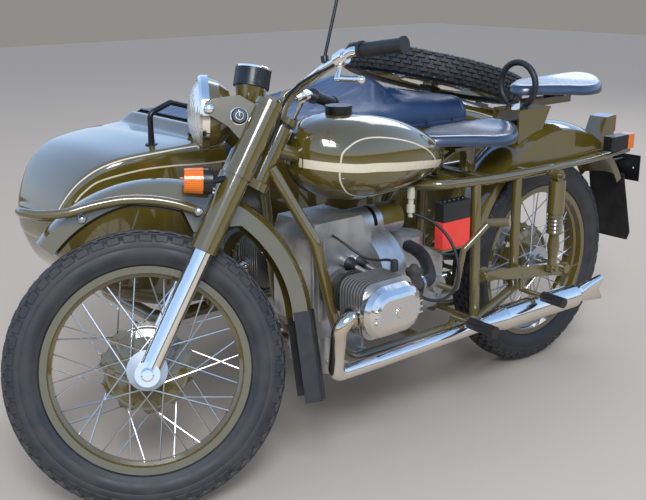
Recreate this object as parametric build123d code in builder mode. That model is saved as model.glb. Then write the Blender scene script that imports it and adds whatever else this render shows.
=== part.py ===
# Sidecar motorcycle: a flat twin with shaft drive and a single-seat sidecar on its right.
# Millimetres. +X forward, +Y the rider's left, +Z up. The origin is on the ground under the rear axle.
import os
from math import atan2, cos, degrees, radians, sin

from build123d import *

os.makedirs("parts", exist_ok=True)

# Driving dimensions of the whole machine
WHEELBASE = 1455.0
TYRE_R = 345.0
TYRE_W = 98.0
TRACK = 1140.0
SIDECAR_LEAD = 220.0
RAKE = 32.0
TRAIL = 150.0
REST_STEER = -32.7
CLEAR = 0.3

# Driving dimensions of the wheels
RIM_R = 255.0
RIM_HALF = 36.0
LOBE_R = 116.0
LOBES = 10
BEAD_R = 243.0
WELL_R = 228.0
SPOKES = 20
SPOKE_R = 2.0
AXLE_R = 10.0
HUB_HALF = 46.0
HUB_BORE = AXLE_R + 0.05
DRUM_R = 101.0

# Driving dimensions of the fork and the steering head
LEG_Y = 98.0
SLIDER_R = 25.0
SLIDER_TOP = 318.0
COVER_R = 33.0
COVER_TOP = 700.0
HEAD_LOW = 912.0
HEAD_HIGH = 1062.0
HEAD_R = 29.0
STEM_R = 17.0

# Driving dimensions of the frame and the rear end
TUBE_R = 15.0
RAIL_Y = 110.0
CRADLE_Y = 125.0
RAIL_Z = 682.0
PIVOT = (378.0, 398.0)
ARM_Y = 132.0
ARM_HALF = 8.0
SHOCK_X = 84.0
SHOCK_Y = 156.0
SHOCK_HIGH = 668.0
SHOCK_LOW = 366.0

# Driving dimensions of the engine
CRANK_Z = 470.0
CYL_X = 908.0
CYL_OFFSET = 20.0
CASE_HALF = 105.0
COVER_FACE = 337.0

# Driving dimensions of the sidecar
BODY_Y = -615.0
BODY_WALL = 8.0

FRONT_C = Vector(WHEELBASE, 0, TYRE_R)
REAR_C = Vector(0, 0, TYRE_R)
SIDE_C = Vector(SIDECAR_LEAD, -TRACK, TYRE_R)
S, C = sin(radians(RAKE)), cos(radians(RAKE))
STEER_UP = Vector(-S, 0, C)
STEER_FWD = Vector(C, 0, S)
STEER_FOOT = Vector(WHEELBASE + TRAIL, 0, 0)
STEER_AXIS = Axis(STEER_FOOT, STEER_UP)
LEG_AHEAD = (FRONT_C - STEER_FOOT).dot(STEER_FWD)
LEG_START = (FRONT_C - STEER_FOOT).dot(STEER_UP)


def head_plane(along, ahead=0.0, side=0.0):
    """Plane square to the steering axis, that far up it from the ground, ahead of it and to its left."""
    return Plane(
        origin=STEER_FOOT + STEER_UP * along + STEER_FWD * ahead + Vector(0, side, 0),
        x_dir=STEER_FWD,
        z_dir=STEER_UP,
    )


def leg_plane(along, side):
    """Plane square to a fork leg, that far up the leg from the front axle."""
    return head_plane(LEG_START + along, LEG_AHEAD, side)


def tube(points, radius, bend=0.0):
    """Round bar through points, its corners rounded to the bend radius."""
    with BuildLine(mode=Mode.PRIVATE) as route:
        if bend:
            FilletPolyline(*points, radius=bend)
        else:
            Polyline(*points)
    with BuildSketch(Plane(origin=route.line @ 0, z_dir=route.line % 0)) as ring:
        Circle(radius)
    sweep(sections=ring.sketch, path=route.line)


def bar(start, end, radius, mode=Mode.ADD):
    """Straight round bar between two points."""
    start, end = Vector(*start), Vector(*end)
    with BuildSketch(Plane(origin=start, z_dir=end - start)) as ring:
        Circle(radius)
    extrude(ring.sketch, amount=(end - start).length, mode=mode)


def slab(points, side, thick):
    """Plate in the XZ plane at y = side, as thick as given on each side of it."""
    with BuildLine() as edge:
        Polyline(*points, close=True)
    with BuildSketch(Plane(origin=(0, side, 0), x_dir=(1, 0, 0), z_dir=(0, -1, 0))) as face:
        make_face(edge.line.edges())
    extrude(face.sketch, amount=thick, both=True)


def block(x, y, z, round_edges=0.0):
    """Box between the lows and highs of three pairs."""
    with BuildSketch(Plane.XY.offset(z[0])) as foot:
        with Locations(((x[0] + x[1]) / 2, (y[0] + y[1]) / 2)):
            if round_edges:
                RectangleRounded(x[1] - x[0], y[1] - y[0], round_edges)
            else:
                Rectangle(x[1] - x[0], y[1] - y[0])
    extrude(foot.sketch, amount=z[1] - z[0])


def pad(x, z, width, height, round_edges, start, end):
    """Rounded block standing on an XZ plane, from one y to another."""
    with BuildSketch(Plane(origin=(x, start, z), x_dir=(1, 0, 0), z_dir=(0, end - start, 0))) as foot:
        RectangleRounded(width, height, round_edges)
    extrude(foot.sketch, amount=abs(end - start))


def mirrored(points):
    return [(x, -y, z) for x, y, z in points]


def save(part, name, steered=False):
    if steered:
        part = part.rotate(STEER_AXIS, REST_STEER)
    part.label = name
    export_step(part, f"parts/{name}.step")


# Wire wheel, its axle along Y, with the brake drum on its right; all four wheels interchange
RIM_OUTLINE = [
    (-RIM_HALF, RIM_R), (-RIM_HALF + 3, RIM_R), (-31, BEAD_R), (-15, BEAD_R - 3), (-11, WELL_R + 4),
    (11, WELL_R + 4), (15, BEAD_R - 3), (31, BEAD_R), (RIM_HALF - 3, RIM_R), (RIM_HALF, RIM_R),
    (RIM_HALF - 1, BEAD_R - 5), (16, BEAD_R - 7), (12, WELL_R), (-12, WELL_R), (-16, BEAD_R - 7),
    (-RIM_HALF + 1, BEAD_R - 5),
]
HUB_OUTLINE = [
    (HUB_HALF, HUB_BORE), (HUB_HALF, 24), (39, 26), (37, 50), (32, 50), (30, 30), (-2, 34), (-6, 80), (-12, 98),
    (-12, DRUM_R + 3), (-33, DRUM_R + 3), (-35, LOBE_R), (-40, LOBE_R), (-41, 98), (-41, 30), (-HUB_HALF, 30),
    (-HUB_HALF, HUB_BORE),
]
# Spoke sets: side of the hub, radius and offset at the hub, offset at the rim, first angle, lean round the hub
SPOKE_SETS = [
    (34.5, 44.0, 5.0, 0.0, 62.0),
    (34.5, 44.0, 5.0, 18.0, -62.0),
    (-38.0, 106.0, -5.0, 9.0, 27.0),
    (-38.0, 106.0, -5.0, 27.0, -27.0),
]

with BuildPart() as wheel:
    with BuildSketch(Plane.YZ):
        with BuildLine():
            Polyline(*RIM_OUTLINE, close=True)
        make_face()
        with BuildLine():
            Polyline(*HUB_OUTLINE, close=True)
        make_face()
    revolve(axis=Axis.Y)
    for hub_y, hub_r, rim_y, first, lean in SPOKE_SETS:
        seats = []
        for turn in range(SPOKES // 2):
            at_rim = radians(first + turn * 720.0 / SPOKES)
            at_hub = at_rim + radians(lean)
            head = Vector(hub_r * sin(at_hub), hub_y, hub_r * cos(at_hub))
            run = Vector((WELL_R + 1) * sin(at_rim), rim_y, (WELL_R + 1) * cos(at_rim)) - head
            seats.append(Plane(origin=head, z_dir=run))
        with BuildSketch(*seats):
            RegularPolygon(SPOKE_R, 5)
        extrude(amount=run.length)
    with BuildSketch(Plane(origin=(0, -42, 0), x_dir=(0, 0, 1), z_dir=(0, 1, 0))):
        with PolarLocations(LOBE_R + 17, LOBES, start_angle=180.0 / LOBES):
            Circle(27)
    extrude(amount=8.5, mode=Mode.SUBTRACT)

# Tyre: beads on the rim's seats, sidewalls and a rounded tread out to the tips of its blocks
TYRE_HALF = TYRE_W / 2
TYRE_OUTLINE = [
    (RIM_HALF - 5 - CLEAR, BEAD_R + CLEAR), (RIM_HALF - 3 - CLEAR, RIM_R), (RIM_HALF - 2, RIM_R + 2),
    (RIM_HALF + 3, RIM_R + 4), (TYRE_HALF - 3, RIM_R + 20), (TYRE_HALF, RIM_R + 42), (TYRE_HALF - 3, TYRE_R - 24),
    (TYRE_HALF - 6, TYRE_R - 12), (TYRE_HALF - 20, TYRE_R - 3),
]

with BuildPart() as tyre:
    with BuildSketch(Plane.YZ):
        with BuildLine():
            Polyline(*TYRE_OUTLINE, (0, TYRE_R), *[(-y, r) for y, r in reversed(TYRE_OUTLINE)], close=True)
        make_face()
    revolve(axis=Axis.Y)

# The spare lies on the sidecar's boot lid and slopes down to the rear with it
DECK_FRONT = (0.0, 848.0)
DECK_REAR = (-450.0, 720.0)
LID_SLOPE = degrees(atan2(DECK_FRONT[1] - DECK_REAR[1], DECK_FRONT[0] - DECK_REAR[0]))
SPARE_AT = Vector(-150, BODY_Y, 900)
WHEEL_PLACES = [
    ("front", Location(FRONT_C), True),
    ("rear", Location(REAR_C), False),
    ("sidecar", Location(SIDE_C), False),
    ("spare", Location(SPARE_AT) * Rotation(0, -LID_SLOPE, 0) * Rotation(90, 0, 0), False),
]
for place, location, steered in WHEEL_PLACES:
    save(wheel.part.moved(location), f"{place}_wheel", steered)
    save(tyre.part.moved(location), f"{place}_tyre", steered)

# Front axle: a through bolt with spacers between the hub and the sliders
with BuildPart() as front_axle:
    with BuildSketch(Plane.YZ):
        for side in (1, -1):
            with BuildLine():
                Polyline(
                    (0, 0), (0, AXLE_R), (side * (HUB_HALF + CLEAR), AXLE_R), (side * (HUB_HALF + CLEAR), 17),
                    (side * (LEG_Y - SLIDER_R - CLEAR), 17), (side * (LEG_Y - SLIDER_R - CLEAR), AXLE_R),
                    (side * (LEG_Y + SLIDER_R + CLEAR), AXLE_R), (side * (LEG_Y + SLIDER_R + CLEAR), 16),
                    (side * (LEG_Y + SLIDER_R + 10), 16), (side * (LEG_Y + SLIDER_R + 12), 12),
                    (side * (LEG_Y + SLIDER_R + 12), 0), close=True,
                )
            make_face()
    revolve(axis=Axis.Y)
save(front_axle.part.moved(Location(FRONT_C)), "front_axle", True)

# Fork sliders: chromed lower legs with a clamp boss round the axle
with BuildPart() as fork_sliders:
    for side in (LEG_Y, -LEG_Y):
        with BuildSketch(leg_plane(-14, side)):
            Circle(SLIDER_R)
        extrude(amount=SLIDER_TOP + 14)
        with BuildSketch(Plane(origin=FRONT_C + Vector(0, side, 0), z_dir=(0, 1, 0))):
            Circle(30)
        extrude(amount=SLIDER_R - 2, both=True)
        with BuildSketch(Plane(origin=FRONT_C + Vector(0, side, 0), z_dir=(0, 1, 0))):
            Circle(AXLE_R + 0.05)
        extrude(amount=SLIDER_R + 8, both=True, mode=Mode.SUBTRACT)
save(fork_sliders.part, "fork_sliders", True)

# Fork covers: painted upper legs with lamp ears, the lower bridge and the steering stem
BRIDGE_LOW = HEAD_LOW - 24
LAMP_TILT = 6.0
LAMP_AT = Vector(1231, 0, 956)
LAMP_R = LEG_Y - 1 - CLEAR
EAR_BOLT = (1226.0, 953.0)
EAR_OUTLINE = [
    (1240, 957), (1232, 972), (1210, 976), (1150, 978), (1085, 930), (1110, 880), (1160, 868), (1186, 905),
    (1225, 936), (1238, 943),
]


def fork_bridge(along, thick, leg_r, stem_r):
    """Bridge across both legs and the stem, that far up the steering axis."""
    with BuildSketch(head_plane(along)) as bridge:
        with Locations((LEG_AHEAD, LEG_Y), (LEG_AHEAD, -LEG_Y)):
            Circle(leg_r)
        Circle(stem_r)
        Polygon((LEG_AHEAD + 20, LEG_Y), (LEG_AHEAD + 20, -LEG_Y), (-stem_r + 12, -20), (-stem_r + 12, 20), align=None)
    extrude(bridge.sketch, amount=thick)


with BuildPart() as fork_covers:
    for side in (LEG_Y, -LEG_Y):
        with BuildSketch(leg_plane(SLIDER_TOP + CLEAR, side)):
            Circle(COVER_R)
        extrude(amount=COVER_TOP - SLIDER_TOP - CLEAR)
        ear = side + 3 if side > 0 else side - 3
        with BuildSketch(Plane(origin=(0, ear, 0), x_dir=(1, 0, 0), z_dir=(0, -1, 0))):
            with BuildLine():
                Polyline(*EAR_OUTLINE, close=True)
            make_face()
        extrude(amount=4, both=True)
    fork_bridge(BRIDGE_LOW, 22, COVER_R + 4, 36)
    with BuildSketch(head_plane(BRIDGE_LOW + 20)):
        Circle(STEM_R)
    extrude(amount=LEG_START + COVER_TOP - BRIDGE_LOW - 20)
save(fork_covers.part, "fork_covers", True)

# Top yoke: the upper bridge with the clock pod and the handlebar clamps
CLOCK_AT = Vector(1098, 0, 1033)
CLOCK_TILT = 16.0
CLOCK_R = 46.0
CLOCK_HALF = 25.0
CLOCK_PLANE = Plane(origin=CLOCK_AT, x_dir=(0, 1, 0), z_dir=(-sin(radians(CLOCK_TILT)), 0, cos(radians(CLOCK_TILT))))
YOKE_LOW = LEG_START + COVER_TOP
BAR_R = 11.0
BAR_AT = Vector(1022, 0, 968)
CLAMP_Y = 42.0

with BuildPart() as fork_yoke:
    fork_bridge(YOKE_LOW, 16, COVER_R + 2, 34)
    with BuildSketch(CLOCK_PLANE.offset(-CLOCK_HALF - CLEAR)):
        Circle(CLOCK_R - 5)
    extrude(amount=-60, taper=14)
    for side in (CLAMP_Y, -CLAMP_Y):
        bar((1048, side, 920), BAR_AT + Vector(0, side, 0), 13)
        bar(BAR_AT + Vector(0, side - 11, 0), BAR_AT + Vector(0, side + 11, 0), BAR_R + 8)
    bar(BAR_AT + Vector(0, -80, 0), BAR_AT + Vector(0, 80, 0), BAR_R + 0.05, Mode.SUBTRACT)
    with BuildSketch(leg_plane(COVER_TOP + 15, LEG_Y), leg_plane(COVER_TOP + 15, -LEG_Y)):
        RegularPolygon(21, 6)
    extrude(amount=13)
save(fork_yoke.part, "fork_yoke", True)

# Headlamp: painted bowl, chromed rim and domed glass, tipped up a little between the ears
LAMP_PLANE = Plane(
    origin=LAMP_AT, x_dir=(0, 1, 0), z_dir=(cos(radians(LAMP_TILT)), 0, sin(radians(LAMP_TILT)))
)
with BuildPart() as headlamp_bowl:
    with BuildSketch(Plane.XZ):
        with BuildLine():
            Polyline((0, -78), (24, -76), (60, -60), (82, -34), (90, -8 - CLEAR), (0, -8 - CLEAR), close=True)
        make_face()
    revolve(axis=Axis.Z)
save(headlamp_bowl.part.moved(LAMP_PLANE.location), "headlamp_bowl", True)

with BuildPart() as headlamp_rim:
    with BuildSketch(Plane.XZ):
        with BuildLine():
            Polyline((84, -8), (LAMP_R, -8), (LAMP_R, 10), (LAMP_R - 5, 16), (84, 16), close=True)
        make_face()
    revolve(axis=Axis.Z)
save(headlamp_rim.part.moved(LAMP_PLANE.location), "headlamp_rim", True)

with BuildPart() as headlamp_glass:
    with BuildSketch(Plane.XZ):
        with BuildLine():
            Polyline(
                (0, -8), (84 - CLEAR, -8), (84 - CLEAR, 14), (66, 27), (45, 36), (23, 41), (0, 42), close=True,
            )
        make_face()
    revolve(axis=Axis.Z)
save(headlamp_glass.part.moved(LAMP_PLANE.location), "headlamp_glass", True)

# Clock: black drum on the pod
with BuildPart() as speedometer:
    with BuildSketch(CLOCK_PLANE.offset(-CLOCK_HALF)):
        Circle(CLOCK_R)
    extrude(amount=2 * CLOCK_HALF)
save(speedometer.part, "speedometer", True)

# Handlebar, grips, levers and the left mirror
BAR_BEND = (960.0, 215.0, 1000.0)
GRIP_START = (904.0, 290.0, 1020.0)
GRIP_END = (811.0, 400.0, 1003.0)
GRIP_FOOT = (888.5, 308.3, 1017.2)
GRIP_R = 17.0
LEVER_ROOT = (926.0, 258.0, 1002.0)
LEVER_KNEE = (950.0, 300.0, 960.0)
LEVER_TIP = (919.0, 400.0, 937.0)
MIRROR_ROOT = (954.0, 222.0, 1003.0)
MIRROR_AT = (880.0, 245.0, 1245.0)

with BuildPart() as handlebar:
    half = [(1022.0, 60.0, 968.0), BAR_BEND, GRIP_START, GRIP_FOOT]
    tube([*reversed(mirrored(half)), *half], BAR_R, 12)
save(handlebar.part, "handlebar", True)

with BuildPart() as grips:
    for side in (1, -1):
        start = Vector(GRIP_FOOT[0], side * GRIP_FOOT[1], GRIP_FOOT[2])
        end = Vector(GRIP_END[0], side * GRIP_END[1], GRIP_END[2])
        run = (end - start).normalized()
        bar(start + run * CLEAR, end, GRIP_R)
        bar(start + run * CLEAR, start + run * 8, GRIP_R + 5)
        bar(end - run * 6, end, GRIP_R + 3)
save(grips.part, "grips", True)

with BuildPart() as levers:
    for side in (1, -1):
        root, knee, tip = [(x, side * y, z) for x, y, z in (LEVER_ROOT, LEVER_KNEE, LEVER_TIP)]
        bar(root, knee, 6)
        bar(knee, tip, 5)
        with Locations(knee):
            Sphere(6)
        with Locations(tip):
            Sphere(9)
        clamp = Vector(GRIP_START[0], side * GRIP_START[1], GRIP_START[2])
        way = (Vector(BAR_BEND[0], side * BAR_BEND[1], BAR_BEND[2]) - clamp).normalized()
        bar(clamp + way * 22, clamp + way * 48, BAR_R + 7)
        bar(clamp + way * 20, clamp + way * 50, BAR_R + 0.05, Mode.SUBTRACT)
save(levers.part, "levers", True)

with BuildPart() as left_mirror:
    lift = Vector(*MIRROR_AT) - Vector(*MIRROR_ROOT)
    foot = Vector(*MIRROR_ROOT) + Vector(0, 0, BAR_R + 1.2)
    bar(foot, foot + Vector(0, 0, 14), 9)
    bar(foot + Vector(0, 0, 10), Vector(*MIRROR_AT) - lift.normalized() * 40, 4)
    with BuildSketch(Plane(origin=MIRROR_AT, x_dir=(0, 1, 0), z_dir=(1, 0, 0.1))):
        Circle(58)
    extrude(amount=14)
save(left_mirror.part, "mirror", True)

# Front turn signals on stalks from the fork covers
SIGNAL_AT = Vector(1244, 128, 778)
SIGNAL_R = 32.0
with BuildPart() as front_signals:
    for side in (1, -1):
        at = Vector(SIGNAL_AT.X, side * SIGNAL_AT.Y, SIGNAL_AT.Z)
        root = Vector(1196, side * (LEG_Y + 8), 782)
        bar(at, at + Vector(22, 0, 3), SIGNAL_R)
        bar(root, at + Vector(4, 0, 0), 8)
    with BuildSketch(leg_plane(SLIDER_TOP, LEG_Y), leg_plane(SLIDER_TOP, -LEG_Y)):
        Circle(COVER_R + CLEAR)
    extrude(amount=COVER_TOP - SLIDER_TOP, mode=Mode.SUBTRACT)
save(front_signals.part, "front_signals", True)

with BuildPart() as front_signal_lenses:
    for side in (1, -1):
        at = Vector(SIGNAL_AT.X + 22 + CLEAR, side * SIGNAL_AT.Y, SIGNAL_AT.Z + 3.1)
        with BuildSketch(Plane(origin=at, x_dir=(0, 1, 0), z_dir=(22, 0, 3))):
            Circle(SIGNAL_R)
        extrude(amount=44, taper=4)
save(front_signal_lenses.part, "front_signal_lenses", True)

# Front fender: rolled crown with side valances, hung from the fork covers by plates
FENDER_AT = (WHEELBASE - 52, TYRE_R + 91)
FENDER_R = TYRE_R + 31
FENDER_FROM = 43.0
FENDER_TO = 184.0
FENDER_HALF = 62.0
SHEET = 3.0


def arc_plane(centre, angle):
    """Plane through the Y axis at a centre, its own y pointing out at an angle up from +X."""
    turn = radians(angle)
    return Plane(origin=(centre[0], 0, centre[1]), x_dir=(0, 1, 0), z_dir=(sin(turn), 0, -cos(turn)))


def fender_section(radius, half, drop, skirt):
    """Closed outline of a fender's cross-section: an arched crown, and straight skirts."""
    Polyline((-half, radius - drop), (-half, radius - drop - skirt), (-half + SHEET, radius - drop - skirt))
    Line((-half + SHEET, radius - drop - skirt), (-half + SHEET, radius - drop - 1))
    ThreePointArc((-half + SHEET, radius - drop - 1), (0, radius - SHEET), (half - SHEET, radius - drop - 1))
    Polyline((half - SHEET, radius - drop - 1), (half - SHEET, radius - drop - skirt), (half, radius - drop - skirt))
    Line((half, radius - drop - skirt), (half, radius - drop))
    ThreePointArc((half, radius - drop), (0, radius), (-half, radius - drop))


def fender(centre, radius, half, drop, skirt, start, end):
    with BuildLine() as edge:
        fender_section(radius, half, drop, skirt)
    with BuildSketch(arc_plane(centre, end)) as section:
        make_face(edge.line.edges())
    revolve(section.sketch, axis=Axis((centre[0], 0, centre[1]), (0, 1, 0)), revolution_arc=end - start)


HANGER_OUTLINE = [(1330, 755), (1300, 664), (1224, 668), (1172, 664), (1200, 700), (1262, 738)]
with BuildPart() as front_fender:
    fender(FENDER_AT, FENDER_R, FENDER_HALF, 20, 38, FENDER_FROM, FENDER_TO)
    for side in (1, -1):
        slab(HANGER_OUTLINE, side * (FENDER_HALF + 1.3), 1.6)
save(front_fender.part, "front_fender", True)

# Bow of bent tube round the nose of the front fender
BOW_R = 11.0
BOW_Y = 92.0
BOW_SIDE = [(1281, 712), (1369, 745), (1455, 760), (1540, 752)]
with BuildPart() as fender_bow:
    left = [(x, BOW_Y, z) for x, z in BOW_SIDE] + [(1650, 86, 750), (1703, 40, 768)]
    tube([*left, *reversed(mirrored(left))], BOW_R, 26)
    for side in (1, -1):
        bar((1281, side * (FENDER_HALF + 3.3), 712), (1281, side * (BOW_Y + 14), 712), 8)
        bar((1560, side * (FENDER_HALF + CLEAR), 744), (1560, side * (BOW_Y - 4), 744), 6)
save(fender_bow.part, "fender_bow", True)

# Mudflap on the rear end of the front fender
FLAP_OUTLINE = [
    (1083, 62.5), (1045, 62.5), (1039, 58), (1029, 34), (1026, 0),
]
FLAP_OUTER = [
    (1023, 0), (1026, 36), (1037, 61), (1044, 65.5), (1083, 65.5),
]
with BuildPart() as front_mudflap:
    with BuildSketch(Plane.XY.offset(206)):
        with BuildLine():
            Polyline(*FLAP_OUTLINE, *FLAP_OUTER, close=True)
        make_face()
        mirror(about=Plane.XZ)
    extrude(amount=228)
save(front_mudflap.part, "front_mudflap", True)

# Main frame: duplex cradle, backbone, seat rails, uprights, pivot bosses and cross tubes
LEFT_LOOP = [
    (1092, 22, 806), (1014, 100, 614), (978, CRADLE_Y, 420), (930, CRADLE_Y, 268), (395, CRADLE_Y, 262),
    (206, 100, 312),
]
LEFT_RAIL = [(615, 8, 688), (546, RAIL_Y, 697), (306, RAIL_Y, 683), (62, RAIL_Y + 4, 680)]
TAIL_STAY = [(66, RAIL_Y + 4, 680), (-150, RAIL_Y, 678), (-363, RAIL_Y, 688)]
# Cross tubes as x, z, half length and radius
CROSS_TUBES = [
    (640.0, 262.0, CRADLE_Y, 12.0), (470.0, 693.0, RAIL_Y, 12.0),
    (330.0, 684.0, RAIL_Y, 10.0), (-355.0, 688.0, RAIL_Y, 8.0),
]
STAND_AT = (376.0, 238.0)
BACKBONE = [(1060.0, 0.0, 846.0), (600.0, 0.0, 700.0)]
BACKBONE_R = 20.0
with BuildPart() as main_frame:
    with BuildSketch(head_plane(HEAD_LOW)):
        Circle(HEAD_R)
    extrude(amount=HEAD_HIGH - HEAD_LOW)
    tube(BACKBONE, BACKBONE_R)
    for points, radius, bend in ((LEFT_LOOP, TUBE_R, 70), (LEFT_RAIL, TUBE_R, 60), (TAIL_STAY, 9, 60)):
        tube(points, radius, bend)
        tube(mirrored(points), radius, bend)
    for side in (1, -1):
        bar((412, side * RAIL_Y, 684), (407, side * 120, 264), TUBE_R)
        bar((224, side * RAIL_Y, 682), (206, side * 100, 306), TUBE_R)
        bar((PIVOT[0], side * 92, PIVOT[1]), (PIVOT[0], side * (ARM_Y - ARM_HALF - CLEAR), PIVOT[1]), 24)
        bar((PIVOT[0], side * 104, PIVOT[1]), (408, side * 110, PIVOT[1]), 12)
        bar((SHOCK_X, side * 104, SHOCK_HIGH), (SHOCK_X, side * (SHOCK_Y + 22), SHOCK_HIGH), 8)
        bar((STAND_AT[0], side * 119, 264), (STAND_AT[0], side * 119, STAND_AT[1] - 8), 9)
        bar((STAND_AT[0], side * 76, STAND_AT[1]), (STAND_AT[0], side * 120, STAND_AT[1]), 6)
        bar((526, side * CRADLE_Y, 262), (526, side * 142, 303), 9)
        bar((526, side * 138, 303), (522, side * 202, 301), 8)
    for x, z, y, radius in CROSS_TUBES:
        bar((x, -y, z), (x, y, z), radius)
    block((424, 552), (72, 116), (498, 504))
    bar((424, 104, 501), (414, 110, 501), 5)
    with BuildSketch(head_plane(HEAD_LOW - 5)):
        Circle(STEM_R + 0.05)
    extrude(amount=HEAD_HIGH - HEAD_LOW + 10, mode=Mode.SUBTRACT)
save(main_frame.part, "main_frame")

# Swingarm, rigid in this part, with the rear axle, its spacer and nuts, and the pillion's peg arms
ARM_OUTLINE = [
    (391, PIVOT[1] + 12), (290, PIVOT[1] + 4), (110, TYRE_R + 33), (20, TYRE_R + 21), (-18, TYRE_R + 17),
    (-26, TYRE_R), (-18, TYRE_R - 17), (20, TYRE_R - 19), (250, PIVOT[1] - 38), (391, PIVOT[1] - 12),
]
PEG_Z = 312.0
with BuildPart() as swingarm:
    for side in (1, -1):
        bar((PIVOT[0], side * (ARM_Y - ARM_HALF), PIVOT[1]), (PIVOT[0], side * 146, PIVOT[1]), 14)
        slab(ARM_OUTLINE, side * ARM_Y, ARM_HALF)
        bar((SHOCK_X, side * (ARM_Y - 4), SHOCK_LOW), (SHOCK_X, side * (SHOCK_Y + 20), SHOCK_LOW), 8)
        bar((206, side * ARM_Y, TYRE_R + 19), (203, side * ARM_Y, PEG_Z), 9)
        bar((203, side * (ARM_Y - 4), PEG_Z + 3), (200, side * 214, PEG_Z), 8)
        bar((0, side * (ARM_Y - 4), TYRE_R), (0, side * (ARM_Y + 22), TYRE_R), 15)
    bar((0, -ARM_Y, TYRE_R), (0, ARM_Y, TYRE_R), AXLE_R)
    bar((0, HUB_HALF + CLEAR, TYRE_R), (0, ARM_Y - 4, TYRE_R), 17)
save(swingarm.part, "swingarm")

# Shock absorbers: eye, painted dust cover, visible coils, and the lower tube with its eye
SHOCK_OUTLINE = [
    (0, 14), (26, 16), (27, 120), (23, 122), (23, 128), (26, 132), (23, 138), (26, 144), (23, 150), (26, 156),
    (23, 162), (26, 168), (23, 174), (26, 180), (25, 186), (15, 190), (20, 230), (15, 262), (15, 288), (0, 288),
]
with BuildPart() as rear_shocks:
    for side in (SHOCK_Y, -SHOCK_Y):
        with BuildSketch(Plane(origin=(SHOCK_X, side, SHOCK_HIGH), x_dir=(1, 0, 0), z_dir=(0, 1, 0))):
            with BuildLine():
                Polyline(*SHOCK_OUTLINE, close=True)
            make_face()
        revolve(axis=Axis((SHOCK_X, side, 0), (0, 0, 1)))
        for height in (SHOCK_HIGH, SHOCK_LOW):
            bar((SHOCK_X, side - 11, height), (SHOCK_X, side + 11, height), 18)
            bar((SHOCK_X, side - 20, height), (SHOCK_X, side + 20, height), 8 + CLEAR, Mode.SUBTRACT)
save(rear_shocks.part, "rear_shocks")

# Final drive on the right of the rear wheel, with the open driveshaft and its rubber coupling
with BuildPart() as final_drive:
    bar((0, -48, TYRE_R), (0, -100, TYRE_R), 92)
    bar((0, -100, TYRE_R), (0, -122, TYRE_R), 60)
    bar((40, -78, TYRE_R + 6), (150, -76, 364), 29)
    bar((146, -72, 363), (494, -58, 439), 11)
    bar((456, -59.5, 430.7), (488, -58.2, 437.7), 34)
    bar((0, -40, TYRE_R), (0, -126, TYRE_R), AXLE_R + 0.05, Mode.SUBTRACT)
save(final_drive.part, "final_drive")

REAR_FENDER_AT = (-30.0, TYRE_R + 27)
REAR_FENDER_R = TYRE_R + 91
REAR_FENDER_TO = 150.0
with BuildPart() as rear_fender:
    fender(REAR_FENDER_AT, REAR_FENDER_R, 76, 22, 26, 20, REAR_FENDER_TO)
    rim = [
        (REAR_FENDER_AT[0] + 402 * cos(radians(angle)), REAR_FENDER_AT[1] + 402 * sin(radians(angle)))
        for angle in range(52, 130, 7)
    ]
    for side in (1, -1):
        slab([(212, 676), *rim, (-284, 676)], side * 74.5, 1.5)
        bar((150, side * 74, 684), (150, side * 97, 684), 6)
        bar((-250, side * 74, 683), (-250, side * (RAIL_Y - 9 - CLEAR), 683), 6)
save(rear_fender.part, "rear_fender")

REAR_END = (
    REAR_FENDER_AT[0] + REAR_FENDER_R * cos(radians(REAR_FENDER_TO)),
    REAR_FENDER_AT[1] + REAR_FENDER_R * sin(radians(REAR_FENDER_TO)),
)
with BuildPart() as rear_mudflap:
    with BuildSketch(Plane(origin=(REAR_END[0] - 0.4, 0, REAR_END[1]), x_dir=(0, 1, 0), z_dir=(-1, 0, 0.26))):
        with BuildLine():
            Polyline((-72, 0), (-78, 230), (-64, 262), (64, 262), (78, 230), (72, 0), close=True)
        make_face()
    extrude(amount=4)
save(rear_mudflap.part, "rear_mudflap")

# Number plate bracket: flat black plate with two bolt holes, on two arms from the fender
PLATE_X = -462.0
PLATE_Z = 606.0
PLATE_HOLES = 150.0
with BuildPart() as plate_bracket:
    block((PLATE_X, PLATE_X + 3), (-100, 100), (PLATE_Z - 46, PLATE_Z + 46))
    for side in (1, -1):
        bar((PLATE_X, side * PLATE_HOLES / 2, PLATE_Z), (PLATE_X + 8, side * PLATE_HOLES / 2, PLATE_Z), 3.5, Mode.SUBTRACT)
        bar((PLATE_X + 2, side * 40, PLATE_Z + 30), (-374, side * 40, PLATE_Z + 30), 5)
save(plate_bracket.part, "plate_bracket")

with BuildPart() as tail_lamp:
    slab([(-322, 696.8), (-300, 715.2), (-336, 792), (-384.7, 796), (-384.7, 700)], 0, 34)
save(tail_lamp.part, "tail_lamp")
with BuildPart() as tail_lamp_lens:
    block((-402, -385), (-30, 30), (738, 794), 5)
save(tail_lamp_lens.part, "tail_lamp_lens")

with BuildPart() as rear_signals:
    for side in (1, -1):
        low, high = sorted((side * 112, side * 152))
        block((-300, -206), (low, high), (704, 752), 8)
        block((-296, -276), sorted((side * 104, side * 118)), (693.8, 706))
save(rear_signals.part, "rear_signals")
with BuildPart() as rear_signal_lenses:
    for side in (1, -1):
        block((-334, -300 - CLEAR), sorted((side * 112, side * 152)), (704, 752), 8)
save(rear_signal_lenses.part, "rear_signal_lenses")

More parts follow.
